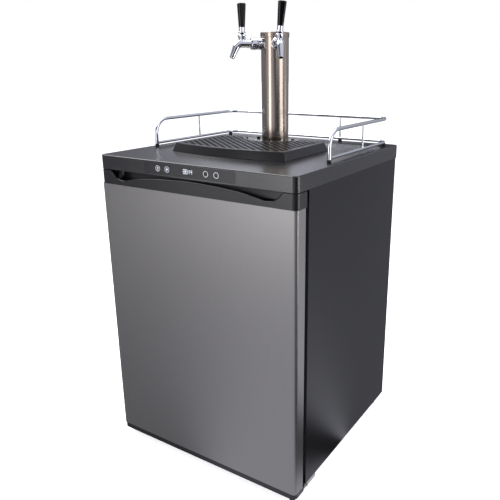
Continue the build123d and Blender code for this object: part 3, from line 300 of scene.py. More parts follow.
def linear(hexColour):
    values = [int(hexColour[i : i + 2], 16) / 255 for i in (1, 3, 5)]
    return [v / 12.92 if v <= 0.04045 else ((v + 0.055) / 1.055) ** 2.4 for v in values] + [1.0]


def addNode(tree, kind, inputs=None, **settings):
    made = tree.nodes.new("ShaderNode" + kind)
    for field, value in settings.items():
        setattr(made, field, value)
    for socket, value in (inputs or {}).items():
        if isinstance(value, tuple) and isinstance(value[0], bpy.types.Node):
            tree.links.new(value[0].outputs[value[1]], made.inputs[socket])
        else:
            made.inputs[socket].default_value = value
    return made


def newMaterial(name, colour, rough, metal=0, specular=0.5):
    material = bpy.data.materials.new(name)
    material.use_nodes = True
    shader = material.node_tree.nodes["Principled BSDF"]
    shader.inputs["Base Color"].default_value = linear(colour)
    shader.inputs["Roughness"].default_value = rough
    shader.inputs["Metallic"].default_value = metal
    shader.inputs["Specular IOR Level"].default_value = specular
    return material


def addGrain(material, spacing, depth, spread, stretch, tint):
    # bumps with their spacing and depth in mm, longer along the stretched axes
    tree = material.node_tree
    shader = tree.nodes["Principled BSDF"]
    place = addNode(tree, "TexCoord")
    scale = [1 / (spacing * mm * s) for s in stretch]
    mapping = addNode(tree, "Mapping", {"Vector": (place, "Object"), "Scale": scale})
    parts = {"Vector": (mapping, "Vector"), "Scale": 1.0, "Detail": grainDetail}
    noise = addNode(tree, "TexNoise", parts)
    parts = {"Height": (noise, "Fac"), "Strength": 1.0, "Distance": depth * mm}
    bump = addNode(tree, "Bump", parts)
    tree.links.new(bump.outputs["Normal"], shader.inputs["Normal"])
    if spread:
        base = shader.inputs["Roughness"].default_value
        parts = {"Value": (noise, "Fac"), "From Min": grainRange[0], "From Max": grainRange[1]}
        parts |= {"To Min": base - spread, "To Max": base + spread}
        rough = addNode(tree, "MapRange", parts)
        tree.links.new(rough.outputs["Result"], shader.inputs["Roughness"])
    if tint:
        ramp = addNode(tree, "ValToRGB", {"Fac": (noise, "Fac")})
        for element, position, colour in zip(ramp.color_ramp.elements, grainRange, tint):
            element.position = position
            element.color = linear(colour)
        tree.links.new(ramp.outputs["Color"], shader.inputs["Base Color"])


finishes = {}


def addFinish(key, name, colour, rough, grain, metal=0, specular=0.5, stretch=(1, 1, 1),
        tint=None, glow=None):
    # grain holds spacing and depth in mm, and what it adds to and takes from the roughness
    material = newMaterial(name, colour, rough, metal, specular)
    if glow:
        shader = material.node_tree.nodes["Principled BSDF"]
        shader.inputs["Emission Color"].default_value = linear(glow[0])
        shader.inputs["Emission Strength"].default_value = glow[1]
    addGrain(material, *grain, stretch, tint)
    finishes[key] = material


# charcoal ABS, spark-eroded grain: nearly black, with a soft broad sheen
addFinish("lidPlastic", "mouldedAbsCharcoal", "#0c0c0e", 0.27, (0.7, 0.02, 0.03), specular=0.7)
# the same plastic in a finer grain: less shiny than the worktop, and a little lighter, which is
# painted light that brightens the scoop's shaded pocket
addFinish("capPlasticPaintedLight", "mouldedAbsDoorCap", "#121215", 0.3, (0.7, 0.015, 0.03), specular=0.43)
# pre-painted steel sheet: smooth, nearly black, a faint wide highlight
addFinish("sidePaint", "paintedSteelSide", "#0f0f11", 0.36, (1.6, 0.01, 0.02), specular=0.25)
# stainless sheet brushed up and down: fine lines that spread the light
addFinish("doorSteel", "brushedStainlessSheet", "#8a8886", 0.4, (0.8, 0.002, 0.02), metal=1,
    stretch=(1, 1, 120), tint=("#888684", "#8c8a88"))
# stainless tube drawn and polished lengthwise: slightly warm, with clear streaks of light
addFinish("tubeSteel", "polishedStainlessTube", "#a0958a", 0.18, (1.2, 0.002, 0.03), metal=1,
    stretch=(1, 1, 150))
# bright chrome over brass: mirrors the room, with a faint polishing haze
addFinish("chrome", "polishedChromePlate", "#dcdee2", 0.06, (3.0, 0.002, 0.02), metal=1)
# chrome over bent steel wire: a little softer, as the wire is less smooth
addFinish("wireChrome", "platedWireChrome", "#cfd2d6", 0.1, (4.0, 0.004, 0.03), metal=1)
# hard plastic from a polished mould: deep black with sharp streaks of light
addFinish("handlePlastic", "glossPhenolicBlack", "#060608", 0.1, (5.0, 0.006, 0.02), specular=0.35)
# moulded nylon: dull black beside the chrome
addFinish("collarNylon", "mouldedNylonCollar", "#0b0b0c", 0.45, (0.6, 0.01, 0))
# black ABS of the drip tray: an even satin sheen over a fine grain
addFinish("trayPlastic", "mouldedAbsBlack", "#0a0a0c", 0.3, (0.8, 0.015, 0.03))
# the lattice's bars: a little duller, with glints along their rounded edges
addFinish("latticePlastic", "mouldedAbsLattice", "#08080a", 0.36, (0.8, 0.015, 0.04))
# polyester film over the controls: charcoal with a very fine matt texture
addFinish("panelFilm", "panelFilmCharcoal", "#131315", 0.3, (0.3, 0.004, 0.03))
# the same film on the keys: just darker, so that each key is seen
addFinish("buttonFilm", "buttonFilmCharcoal", "#121214", 0.3, (0.3, 0.004, 0.03))
# smoked window: smoother and darker than the film round it
addFinish("windowFilm", "smokedWindow", "#101012", 0.22, (0.5, 0.001, 0.02))
# white marks on the keys, lit from behind: a cool glow, slightly uneven close by
addFinish("whitePrint", "litKeyMarks", "#e6e6ea", 0.5, (0.2, 0.004, 0), tint=("#dedee2", "#eeeef2"),
    glow=("#eef2ff", 0.55))
# the display's bars: the same cool white, twice as bright
addFinish("litDigits", "litDigits", "#9a9ba0", 0.5, (0.4, 0.002, 0), glow=("#eef2ff", 1.1))
# oxide-blacked screws: dark metal with an oily, uneven sheen
addFinish("blackScrew", "blackOxideSteel", "#101011", 0.35, (0.5, 0.01, 0.06), metal=0.6)
# black rubber: dull and a little dusty
addFinish("rubber", "naturalRubberBlack", "#0f0f10", 0.6, (0.9, 0.03, 0),
    tint=("#0d0d0e", "#151516"))
# soft PVC of the door's seal: black, with a dull uneven sheen
addFinish("gasket", "magneticGasketPvc", "#060607", 0.5, (1.0, 0.02, 0.05))
# vacuum-formed white polystyrene: smooth and clean, with a slight waviness
addFinish("linerPlastic", "formedPolystyreneWhite", "#e4e6e8", 0.28, (14.0, 0.008, 0.03),
    tint=("#e1e3e5", "#e7e9eb"))
# blown foam: matt straw yellow with open cells
addFinish("foam", "blownFoam", "#e2d3a2", 0.85, (1.5, 0.2, 0), tint=("#dbca96", "#e8dab0"))
# zinc-coated sheet: grey metal mottled with large pale crystals
addFinish("galvanised", "galvanisedSteel", "#a9acae", 0.38, (9.0, 0.01, 0), metal=1,
    tint=("#a0a3a5", "#b6b9bb"))
# zinc-plated brackets and bolts: satin metal with a yellowish tinge
addFinish("zinc", "zincPlatedSteel", "#b4b3ac", 0.32, (2.5, 0.006, 0.05), metal=1,
    tint=("#aeada4", "#bab9b3"))
# stainless floor plate brushed from side to side: bright streaks across the floor
addFinish("plateSteel", "stainlessFloorPlate", "#b4b4b3", 0.3, (0.8, 0.004, 0.05), metal=1,
    stretch=(120, 1, 1))
# sprayed and baked enamel: gloss black with a slight orange peel
addFinish("enamel", "blackEnamelSteel", "#0e0e10", 0.28, (2.5, 0.02, 0.03))
# moulded nylon of the fan and the hand wheel: black-grey satin
addFinish("fanPlastic", "mouldedNylonBlack", "#1a1a1c", 0.4, (0.8, 0.015, 0.04))
# moulded polystyrene cover: light grey with a fine grain
addFinish("coverPlastic", "mouldedPolystyreneGrey", "#d2d5d8", 0.35, (0.9, 0.012, 0.04),
    tint=("#cfd2d5", "#d5d8db"))
# aluminium shell brushed round its girth: pale, with wide soft highlights
addFinish("cylinderMetal", "brushedAluminiumShell", "#c0c1c2", 0.32, (0.8, 0.004, 0.05), metal=1,
    stretch=(60, 60, 1))
# turned brass: warm yellow, with tool marks that blur what it mirrors
addFinish("brass", "turnedBrass", "#b89a58", 0.25, (0.5, 0.004, 0.05), metal=1,
    tint=("#b09251", "#c0a262"))
# lacquered glass and epoxy board: green with its weave faintly showing
addFinish("circuitBoard", "glassEpoxyBoard", "#14532d", 0.4, (0.8, 0.01, 0.05),
    tint=("#104a27", "#185c33"))
# moulded black plastic of the inlet and the feet: dull, coarse to the touch
addFinish("socketPlastic", "mouldedSocketBlack", "#121213", 0.45, (0.8, 0.02, 0.04))
print("materials made:", len(finishes))


# the solids that stay visible as they are

nodeFinish = {
    "sidePaint": ["back_panel", "bay_cover", "front_rail"],
    "chrome": ["shank_nuts"],
    "rubber": ["compressor_mounts"],
    "linerPlastic": ["inner_liner"],
    "foam": ["cabinet_insulation", "roof_insulation", "door_foam", "tower_insulation"],
    "galvanised": ["base_pan"],
    "zinc": ["hinge_lower", "hinge_upper"],
    "fanPlastic": ["fan_motor"],
    "circuitBoard": ["control_board"],
}
for finishName, nodeNames in nodeFinish.items():
    for nodeName in nodeNames:
        slots = frame["nodes"][nodeName].data.materials
        slots.clear()
        slots.append(finishes[finishName])


# places that the pieces share, in mm

faceFront = Matrix.Rotation(math.radians(90), 4, "X")  # turns a piece's top to the front
faceOut = Matrix.Rotation(math.radians(90), 4, "Y")  # turns a piece's top along a tap
towerY = 95.0
tapZ = 1124.0
tapSpread = 40.0  # degrees to each side
overlap = 1.0  # how far a joined piece sinks in, or a tool reaches past the far face
past = 5.0  # how far a tool starts outside


def boxOf(node):
    low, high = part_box(node)
    return Vector(low) / mm, Vector(high) / mm


def tapPlace(side):
    # a tap's own frame: x runs outwards from the column's axis, z up
    return shift(0, towerY, tapZ) @ Matrix.Rotation(math.radians(side * tapSpread - 90), 4, "Z")


worktopLow, worktopHigh = boxOf("worktop")
frontY, worktopTop = worktopLow.y, worktopHigh.z


# worktop: one moulded shell with two ribs behind its front

worktop = {
    "cornerRadius": 14,
    "cornerSteps": 12,
    "edgeRadius": 3,
    "edgeSteps": 5,
    "wall": 3,
    "ribPlaces": (-175, 175),
    "ribHeight": 20,
    "ribWidth": 2.5,
    "panelLap": (4.7, 1.2),  # how far the panel covers its opening's rim, sideways and up
    "lineHole": 30,
}


def makeWorktop():
    low, high, wall = worktopLow, worktopHigh, worktop["wall"]
    shell = addBox("worktopShell", low, high)
    editMode()
    pick("EDGE", lambda middle, way: abs(way.z) > aligned)
    bpy.ops.mesh.bevel(offset=worktop["cornerRadius"] * mm, segments=worktop["cornerSteps"])
    pick("FACE", lambda centre, normal: normal.z > aligned)
    bpy.ops.mesh.region_to_loop()
    bpy.ops.mesh.bevel(offset=worktop["edgeRadius"] * mm, segments=worktop["edgeSteps"])
    pick("FACE", lambda centre, normal: normal.z < -aligned)
    bpy.ops.mesh.inset(thickness=wall * mm)
    extrudeUp(high.z - low.z - wall)
    objectMode()
    inside, half = high.z - wall, worktop["ribWidth"] / 2
    ribEnd = boxOf("side_panel_left")[0].y
    for x in worktop["ribPlaces"]:
        ribLow = (x - half, low.y + wall - overlap, inside - worktop["ribHeight"])
        weld(shell, addBox("rib", ribLow, (x + half, ribEnd, inside + overlap)))
    faceLow, faceHigh = boxOf("control_bezel")
    across, up = worktop["panelLap"]
    openLow = (faceLow.x + across, low.y - past, faceLow.z + up)
    openHigh = (faceHigh.x - across, low.y + wall + overlap, faceHigh.z - up)
    cut(shell, addBox("panelOpening", openLow, openHigh))
    bottom, top = (0, towerY, inside - past), (0, towerY, high.z + past)
    cut(shell, addRod("lineHole", worktop["lineHole"], bottom, top))
    finish(shell, "cabinet", "lidPlastic", ["worktop"], even=True)


# control panel: film, window, lit digits and four round keys with lit marks

panel = {
    "filmEdge": 0.25,
    "windowEdge": 0.3,
    "keyRadius": 7.3,
    "keyBevel": (0.4, 0.5),  # how far in and how far back the key's front edge runs
    "keyDepth": 5,
    "keyEdge": 0.15,
    "rimRadius": 8.5,
    "rimThickness": 1,
    "rimPlace": 5.3,
    "stemRadius": 2.5,
    "stemPlace": 6.2,
    "ringRadius": 7.1,
    "ringWidth": 0.8,
    "printDepth": 0.1,
    "barSoftness": 0.3,  # share of the bar's width
    "lampRing": (1.3, 2.4, 0.9),  # rise, radius and width
    "lampBars": (2.0, 3.4),  # how far below the middle
    "lampBarSize": (2.4, 0.8),
    "starSize": (7.6, 0.85),
    "starTurns": (0, 60, 120),  # degrees
    "digits": "8814",
    "digitPlaces": (-11.2, -3.8, 2.2, 10.0),
    "digitHeight": 12.0,
    "digitWidth": 5.0,
    "barWidth": 1.05,
    "dotPlace": 1.5,
    "dotRise": 2.2,
    "dotSize": 1.2,
}
segmentBars = {"1": "bc", "4": "bcfg", "8": "abcdefg"}
segmentShares = {
    # of the digit's height, and of its width for the last one
    "levelPlace": 0.44,
    "postPlace": 0.225,
    "postLength": 0.42,
    "levelLength": 0.85,
}


def printedRing(name, x, z, radius, width):
    depth, inner = panel["printDepth"], radius - width
    section = [(inner, 0), (radius, 0), (radius, depth), (inner, depth), (inner, 0)]
    return settle(spinProfile(name, section, 48), shift(x, frontY + depth, z) @ faceFront)


def printedBar(name, x, z, length, width, turn=0):
    # a short printed line, upright until it is turned
    half = panel["printDepth"] / 2
    bar = addBox(name, (-width / 2, -half, -length / 2), (width / 2, half, length / 2))
    softenEdges(bar, width * panel["barSoftness"])
    return settle(bar, shift(x, frontY + half, z) @ Matrix.Rotation(math.radians(turn), 4, "Y"))


def makeDigit(digit, x, z):
    wide, tall, thick = panel["digitWidth"], panel["digitHeight"], panel["barWidth"]
    rise, step = segmentShares["levelPlace"] * tall, segmentShares["postPlace"] * tall
    level = {"a": rise, "g": 0, "d": -rise}
    half = wide / 2
    post = {"f": (-half, step), "b": (half, step), "e": (-half, -step), "c": (half, -step)}
    bars = []
    for key in segmentBars[digit]:
        if key in level:
            length = segmentShares["levelLength"] * wide
            bars.append(printedBar("bar", x, z + level[key], length, thick, 90))
        else:
            across, up = post[key]
            length = segmentShares["postLength"] * tall
            bars.append(printedBar("bar", x + across, z + up, length, thick))
    return join("digit", bars)


def makeKey(number):
    node, depth = "button_%d" % number, panel["keyDepth"]
    low, high = boxOf(node)
    x, z = (low.x + high.x) / 2, (low.z + high.z) / 2
    radius, rimRadius, rimBack = panel["keyRadius"], panel["rimRadius"], -panel["rimThickness"]
    bevelIn, bevelBack = panel["keyBevel"]
    face = -panel["printDepth"]
    profile = [(0, face), (radius - bevelIn, face), (radius, -bevelBack), (radius, -depth)]
    cap = settle(spinProfile("cap", profile + [(0, -depth)]), shift(x, frontY, z) @ faceFront)
    profile = [(0, 0), (rimRadius, 0), (rimRadius, rimBack), (0, rimBack)]
    rim = settle(spinProfile("rim", profile), shift(x, frontY + panel["rimPlace"], z) @ faceFront)
    stemFront, stemBack = (x, frontY + panel["stemPlace"], z), (x, high.y, z)
    stem = addRod("stem", panel["stemRadius"], stemFront, stemBack, 24)
    key = softenEdges(join("keyCap%d" % number, [cap, rim, stem]), panel["keyEdge"])
    finish(key, node, "buttonFilm", [node])
    prints = [printedRing("ring", x, z, panel["ringRadius"], panel["ringWidth"])]
    if number == 1:
        rise, radius, width = panel["lampRing"]
        prints.append(printedRing("lamp", x, z + rise, radius, width))
        for drop in panel["lampBars"]:
            prints.append(printedBar("lampBar", x, z - drop, *panel["lampBarSize"], 90))
    if number == 2:
        for turn in panel["starTurns"]:
            prints.append(printedBar("frostRay", x, z, *panel["starSize"], turn))
    finish(join("keyPrint%d" % number, prints), node, "whitePrint")


def makePanel():
    film = softenEdges(copyNode("control_bezel", "panelFilm"), panel["filmEdge"])
    finish(film, "cabinet", "panelFilm", ["control_bezel"], even=True)
    low, high = boxOf("display_window")
    window = addBox("displayWindow", (low.x, low.y + panel["printDepth"], low.z), high)
    softenEdges(window, panel["windowEdge"])
    finish(window, "cabinet", "windowFilm", ["display_window"])
    z = (low.z + high.z) / 2
    digits = [makeDigit(digit, x, z) for digit, x in zip(panel["digits"], panel["digitPlaces"])]
    for rise in (-panel["dotRise"], panel["dotRise"]):
        size = panel["dotSize"]
        digits.append(printedBar("dot", panel["dotPlace"], z + rise, size, size))
    finish(join("litDigits", digits), "cabinet", "litDigits")
    for number in range(1, 5):
        makeKey(number)


# door: a folded stainless skin between two moulded caps

door = {
    "cornerRadius": 9,
    "cornerSteps": 14,
    "sheet": 1.0,
    "capEdge": 0.9,
    "scoopEnd": 38,  # from the door's side to the scoop's end
    "scoopDepth": 28,
    "scoopFillet": 6,
    "scoopSlope": 5.5,  # how much nearer the front its rear wall is at the bottom
    "lipRound": 3.4,
    "lipMargin": 2,  # left as it is at the lip's ends and bottom
}


def shapeScoop(low, high):
    # slopes the scoop's rear wall and rounds the front of its lip
    end, floor = high.x - door["scoopEnd"], high.z - door["scoopDepth"]
    middle, near, margin = (low.y + high.y) / 2, 0.1, door["lipMargin"]
    filletTop = floor + door["scoopFillet"]

    def isRearFoot(p):
        return abs(p.x) < end + near and floor - near < p.z < filletTop + near and p.y > middle

    def isLip(p, way):
        inside = abs(p.x) < end - overlap and floor + margin < p.z < high.z - margin
        return inside and p.y < low.y + near / 2

    editMode()
    pick("VERT", isRearFoot)
    bpy.ops.transform.translate(value=(0, -door["scoopSlope"] * mm, 0))
    pick("EDGE", isLip)
    bpy.ops.mesh.bevel(offset=door["lipRound"] * mm, segments=4)
    objectMode()


def makeDoor():
    low, high = boxOf("door_skin")
    skin = addBox("doorSkin", low, high)
    editMode()
    pick("EDGE", lambda middle, way: abs(way.z) > aligned and middle.y < low.y + overlap)
    bpy.ops.mesh.bevel(offset=door["cornerRadius"] * mm, segments=door["cornerSteps"])
    pick("FACE", lambda centre, normal: normal.y > aligned or abs(normal.z) > aligned)
    bpy.ops.mesh.delete(type="FACE")
    objectMode()
    sheet = door["sheet"] * mm
    applyModifier(skin, "SOLIDIFY", thickness=sheet, offset=-1, use_even_offset=True)
    finish(skin, "door", "doorSteel", ["door_skin"], even=True)
    for node, name in (("door_top_cap", "doorTopCap"), ("door_bottom_cap", "doorBottomCap")):
        cap = copyNode(node, name)
        if node == "door_top_cap":
            shapeScoop(*boxOf(node))
        softenEdges(cap, door["capEdge"], 3, 50)
        # both caps carry the lighter colour: painted light for the scoop's shaded pocket
        finish(cap, "door", "capPlasticPaintedLight", [node], even=True)


# tower: flange with its screws, tube and cap

tower = {
    "sides": 128,
    "tubeRadius": 38.1,
    "tubeWall": 1.6,
    "tapHole": 11.2,
    "tapHoleRun": (20, 60),
    "capRadius": 39.7,
    "capEdge": 1.6,
    "capLip": 0.5,
    "plugHeight": 3,
    "plugWall": 2,
    "flangeRadius": 72,
    "flangeHeight": 16,
    "flangeEdge": 3,
    "flangeBore": 30,
    "spigotGap": 0.05,
}
flangeScrew = {
    "ring": 58,
    "count": 4,
    "headRadius": 4.6,
    "headHeight": 5.5,
    "headEdge": 0.8,
    "shankRadius": 3,
    "length": 18,
    "socketRadius": 2.4,
    "socketDraft": 0.1,
}


def roundedCorner(radius, height, edge, steps=6):
    # points of a rounded outer edge whose sharp corner would be at radius and height
    turns = [math.pi / 2 * step / steps for step in range(steps + 1)]
    inner, seat = radius - edge, height - edge
    return [(inner + edge * math.cos(t), seat + edge * math.sin(t)) for t in turns]


def spinTower(name, node, profile):
    piece = spinProfile(name, profile, tower["sides"], (0, towerY, 0))
    if node == "tower_column":
        start, end = tower["tapHoleRun"]
        for side in (-1, 1):
            hole = addRod("tapHole", tower["tapHole"], (start, 0, 0), (end, 0, 0), 64)
            cut(piece, settle(hole, tapPlace(side)))
    finish(piece, "cabinet", "tubeSteel", [node])


def makeTower():
    outer, inner = tower["tubeRadius"], tower["tubeRadius"] - tower["tubeWall"]
    low, high = boxOf("tower_flange")
    lip, bore, spigot = low.z + tower["flangeHeight"], tower["flangeBore"], inner
    spigot -= tower["spigotGap"]
    profile = [(bore, low.z), (tower["flangeRadius"], low.z)]
    profile += roundedCorner(tower["flangeRadius"], lip, tower["flangeEdge"])
    profile += [(spigot, lip), (spigot, high.z), (bore, high.z), (bore, low.z)]
    spinTower("towerFlange", "tower_flange", profile)
    low, high = boxOf("tower_column")
    profile = [(inner, low.z), (outer, low.z), (outer, high.z), (inner, high.z), (inner, low.z)]
    spinTower("towerTube", "tower_column", profile)
    low, high = boxOf("tower_cap")
    seat, plug, edge = low.z + tower["plugHeight"], inner - tower["plugWall"], tower["capLip"]
    profile = [(0, seat), (plug, seat), (plug, low.z), (inner, low.z), (inner, seat)]
    profile += [(tower["capRadius"] - edge, seat), (tower["capRadius"], seat + edge)]
    profile += roundedCorner(tower["capRadius"], high.z, tower["capEdge"]) + [(0, high.z)]
    spinTower("towerCap", "tower_cap", profile)
    makeFlangeScrews(lip)


def makeFlangeScrews(seat):
    head, tall, shank = (flangeScrew[key] for key in ("headRadius", "headHeight", "shankRadius"))
    socket, end, ring = flangeScrew["socketRadius"], -flangeScrew["length"], flangeScrew["ring"]
    profile = [(0, end), (shank, end), (shank, 0), (head, 0)]
    profile += roundedCorner(head, tall, flangeScrew["headEdge"])
    profile += [(socket, tall), (socket - flangeScrew["socketDraft"], tall / 2), (0, tall / 2)]
    screw = spinProfile("flangeScrew", profile, 24, (0, 0, seat))
    screws = []
    for number in range(flangeScrew["count"]):
        angle = 2 * math.pi * number / flangeScrew["count"]
        place = shift(ring * math.cos(angle), towerY + ring * math.sin(angle))
        screws.append(settle(copyOf(screw, "flangeScrew"), place))
    bpy.data.objects.remove(screw)
    screws = join("flangeScrews", screws)
    finish(screws, "cabinet", "blackScrew", ["flange_screws"])


# taps: each piece is made once in a tap's own frame; heights are above the tap's axis

tap = {
    "leverReach": 93,
    "pivotRise": 18.6,
    "leanOut": {"Left": 0, "Right": 2.4},  # degrees
    "leanSide": {"Left": 0, "Right": 5},
}

couplingNut = {
    "radius": 16,
    "start": 51.5,
    "end": 68.5,
    "chamfer": 2,
    "boreRadius": 11,
    "mouthRadius": 8.1,
    "mouthDepth": 5,
    "spannerHole": 1.6,
    "spannerRun": (-4, 3),  # from below the rim to above it
    "spannerCount": 4,
    "edge": 0.3,
}


def makeCouplingNut(name):
    radius, start, end = couplingNut["radius"], couplingNut["start"], couplingNut["end"]
    chamfer, bore, mouth = (couplingNut[key] for key in ("chamfer", "boreRadius", "mouthRadius"))
    shelf = end - couplingNut["mouthDepth"]
    profile = [(bore, start), (radius - chamfer, start), (radius, start + chamfer),
        (radius, end - chamfer), (radius - chamfer, end), (mouth, end), (mouth, shelf),
        (bore, shelf), (bore, start)]
    nut = settle(spinProfile(name, profile, 96), faceOut)
    middle, turn = (start + end) / 2, 360 / couplingNut["spannerCount"]
    inner, outer = (radius + step for step in couplingNut["spannerRun"])
    for number in range(couplingNut["spannerCount"]):
        ends = (middle, 0, inner), (middle, 0, outer)
        hole = addRod("spannerHole", couplingNut["spannerHole"], *ends, 20)
        angle = math.radians(turn / 2 + turn * number)
        cut(nut, settle(hole, Matrix.Rotation(angle, 4, "X")))
    return softenEdges(nut, couplingNut["edge"], 2, 30)


faucet = {
    "start": 59.5,
    "tailRadius": 8,
    "tailFlange": 4,
    "barrelStart": 69.5,
    "barrelEdge": 0.9,
    "barrelRadius": 10.4,
    "elbowStart": 95,
    "elbowRadius": 16,
    "elbowTurn": 65,  # degrees
    "elbowSteps": 14,
    "elbowEndRadius": 9.4,
    "spoutLength": 31.5,
    "spoutBore": 30,
    "tipRadius": 6.4,
    "tipWall": 2.2,
    "tipEdge": 0.6,
    "seatRadius": 8.2,
    "nubReach": 76,
    "nubRadius": 2.2,
    "nubHeight": 11.6,
    "nubEdge": 0.6,
}


def growRing(step, factor, centre):
    # carries the open end one step on and scales it about its own centre
    bpy.ops.mesh.extrude_region_move(TRANSFORM_OT_translate={"value": step * mm})
    bpy.ops.transform.resize(value=(factor, factor, factor), center_override=centre * mm)


def growBarrel():
    start, tail, barrel = faucet["start"], faucet["tailRadius"], faucet["barrelRadius"]
    flange, edge = start + faucet["tailFlange"], faucet["barrelEdge"]
    neck = faucet["barrelStart"] - edge
    rings = [(start, barrel), (flange, barrel), (flange, tail), (neck, tail)]
    rings += [(neck, barrel - edge), (neck + edge, barrel), (faucet["elbowStart"], barrel)]
    reach, radius = start, tail
    for target, newRadius in rings:
        growRing(Vector((target - reach, 0, 0)), newRadius / radius, Vector((target, 0, 0)))
        reach, radius = target, newRadius


def growElbow():
    # returns where the elbow ends and the angle it has turned
    steps, bend, barrel = faucet["elbowSteps"], faucet["elbowRadius"], faucet["barrelRadius"]
    small = math.radians(faucet["elbowTurn"]) / steps
    hub = Vector((faucet["elbowStart"], 0, -bend))
    radius, turn = barrel, 0.0
    for step in range(steps):
        bpy.ops.mesh.extrude_region_move(TRANSFORM_OT_translate={"value": (0, 0, 0)})
        bpy.ops.transform.rotate(value=-small, orient_axis="Y", center_override=hub * mm)
        turn += small
        newRadius = barrel + (faucet["elbowEndRadius"] - barrel) * (step + 1) / steps
        centre = hub + Vector((bend * math.sin(turn), 0, bend * math.cos(turn)))
        factor = newRadius / radius
        bpy.ops.transform.resize(value=(factor, factor, factor), center_override=centre * mm)
        radius = newRadius
    return centre, turn


def growSpout(centre, turn):
    along = Vector((math.cos(turn), 0, -math.sin(turn)))
    radius, tip, edge = faucet["elbowEndRadius"], faucet["tipRadius"], faucet["tipEdge"]
    bore = tip - faucet["tipWall"]
    runs = [(faucet["spoutLength"] - edge, tip), (edge, tip - edge), (0, bore)]
    for length, newRadius in runs + [(-faucet["spoutBore"], bore)]:
        centre = centre + along * length
        growRing(along * length, newRadius / radius, centre)
        radius = newRadius


def makeFaucet(name):
    clearSelection()
    bpy.ops.mesh.primitive_circle_add(vertices=64, radius=faucet["tailRadius"] * mm,
        fill_type="NGON", location=(faucet["start"] * mm, 0, 0), rotation=(0, math.pi / 2, 0))
    piece = settle(named(name))
    editMode()
    bpy.ops.mesh.select_mode(type="FACE")
    selectAll()
    growBarrel()
    growSpout(*growElbow())
    objectMode()
    mend(piece)
    reach = tap["leverReach"]
    ends = (reach, 0, 0), (reach, 0, bonnet["profile"][0][1])
    weld(piece, addRod("seat", faucet["seatRadius"], *ends, 64))
    reach, height = faucet["nubReach"], faucet["nubHeight"]
    nub = addRod("nub", faucet["nubRadius"], (reach, 0, -height), (reach, 0, height), 24)
    return weld(piece, softenEdges(nub, faucet["nubEdge"], 3))


# the bonnet's wide mouth leaves room for the lever at full tilt
bonnet = {
    "profile": [(6.9, 10.5), (9.0, 10.5), (9.5, 11.5), (11.2, 20.0), (11.4, 20.6), (11.2, 21.6),
        (10.6, 22.4), (10.2, 22.6), (9.4, 22.6), (9.1, 22.2), (6.9, 18.6), (6.9, 10.5)],
}

lever = {
    "ballRadius": 6.5,
    "ballTurns": (-70, 53, 6),  # first, limit and step in degrees
    "tip": [(0, 9.6), (1.8, 9.6), (2.2, 10.0)],
    "ring": [(4, 28.3), (8, 28.3), (8.2, 26.9), (9.3, 26.9), (10.0, 27.2), (10.2, 27.8),
        (10.2, 29.0), (9.9, 29.6), (9.3, 29.9), (8, 30.4)],
    "stemRadius": 8,
    "threadRadius": 4,
    "threadLength": 12,
}

# keeps dust out of the ball's seat
collar = {"bore": 3.9, "narrow": 4.2, "wide": 6.0, "bottom": 23.4, "top": 26.9}

handle = {
    "bottom": 41.6,
    "top": 102,
    "bottomWidth": 16,
    "topWidth": 21.4,
    "corner": 6,
    "cornerSteps": 8,
    "crown": ((0.9, 0.97), (0.8, 0.93), (0.5, 0.92), (0.3, 0.9)),  # rise and share of the last
    "socketRim": 4.2,
    "socketDepth": 12,
    "edge": 0.6,
}


def spinOnTap(name, profile, sides):
    return spinProfile(name, profile, sides, (tap["leverReach"], 0, 0))


def makeLever(name):
    ball, pivot, seat = lever["ballRadius"], tap["pivotRise"], handle["bottom"]
    stem, thread, end = lever["stemRadius"], lever["threadRadius"], seat + lever["threadLength"]
    turns = [math.radians(angle) for angle in range(*lever["ballTurns"])]
    profile = lever["tip"] + [(ball * math.cos(t), pivot + ball * math.sin(t)) for t in turns]
    profile += lever["ring"] + [(stem, seat), (thread, seat), (thread, end), (0, end)]
    return spinOnTap(name, profile, 64)


def makeCollar(name):
    bore, low, top = collar["bore"], collar["bottom"], collar["top"]
    profile = [(bore, low), (collar["narrow"], low), (collar["wide"], top), (bore, top)]
    return spinOnTap(name, profile + [(bore, low)], 48)


def makeHandle(name):
    low, narrow, wide = handle["bottom"], handle["bottomWidth"] / 2, handle["topWidth"] / 2
    reach, shoulder = tap["leverReach"], handle["top"] - sum(rise for rise, _ in handle["crown"])
    middle = Vector((reach, 0, shoulder)) * mm
    piece = addBox(name, (reach - narrow, -narrow, low), (reach + narrow, narrow, shoulder))
    editMode()
    pick("FACE", lambda centre, normal: normal.z > aligned)
    bpy.ops.transform.resize(value=(wide / narrow, wide / narrow, 1), center_override=middle)
    pick("EDGE", lambda middle, way: abs(way.z) > aligned)
    bpy.ops.mesh.bevel(offset=handle["corner"] * mm, segments=handle["cornerSteps"])
    pick("FACE", lambda centre, normal: normal.z > aligned)
    for rise, scale in handle["crown"]:
        extrudeUp(rise)
        bpy.ops.transform.resize(value=(scale, scale, 1), center_override=middle)
    pick("FACE", lambda centre, normal: normal.z < -aligned)
    bpy.ops.mesh.inset(thickness=handle["socketRim"] * mm)
    extrudeUp(handle["socketDepth"])
    objectMode()
    return softenEdges(piece, handle["edge"], 3, 50)


def leanOf(word):
    # how a lever stands at rest, turned about its ball
    reach, pivot = tap["leverReach"], tap["pivotRise"]
    out, aside = math.radians(tap["leanOut"][word]), math.radians(tap["leanSide"][word])
    turned = Matrix.Rotation(out, 4, "Y") @ Matrix.Rotation(-aside, 4, "X")
    return shift(reach, 0, pivot) @ turned @ shift(-reach, 0, -pivot)


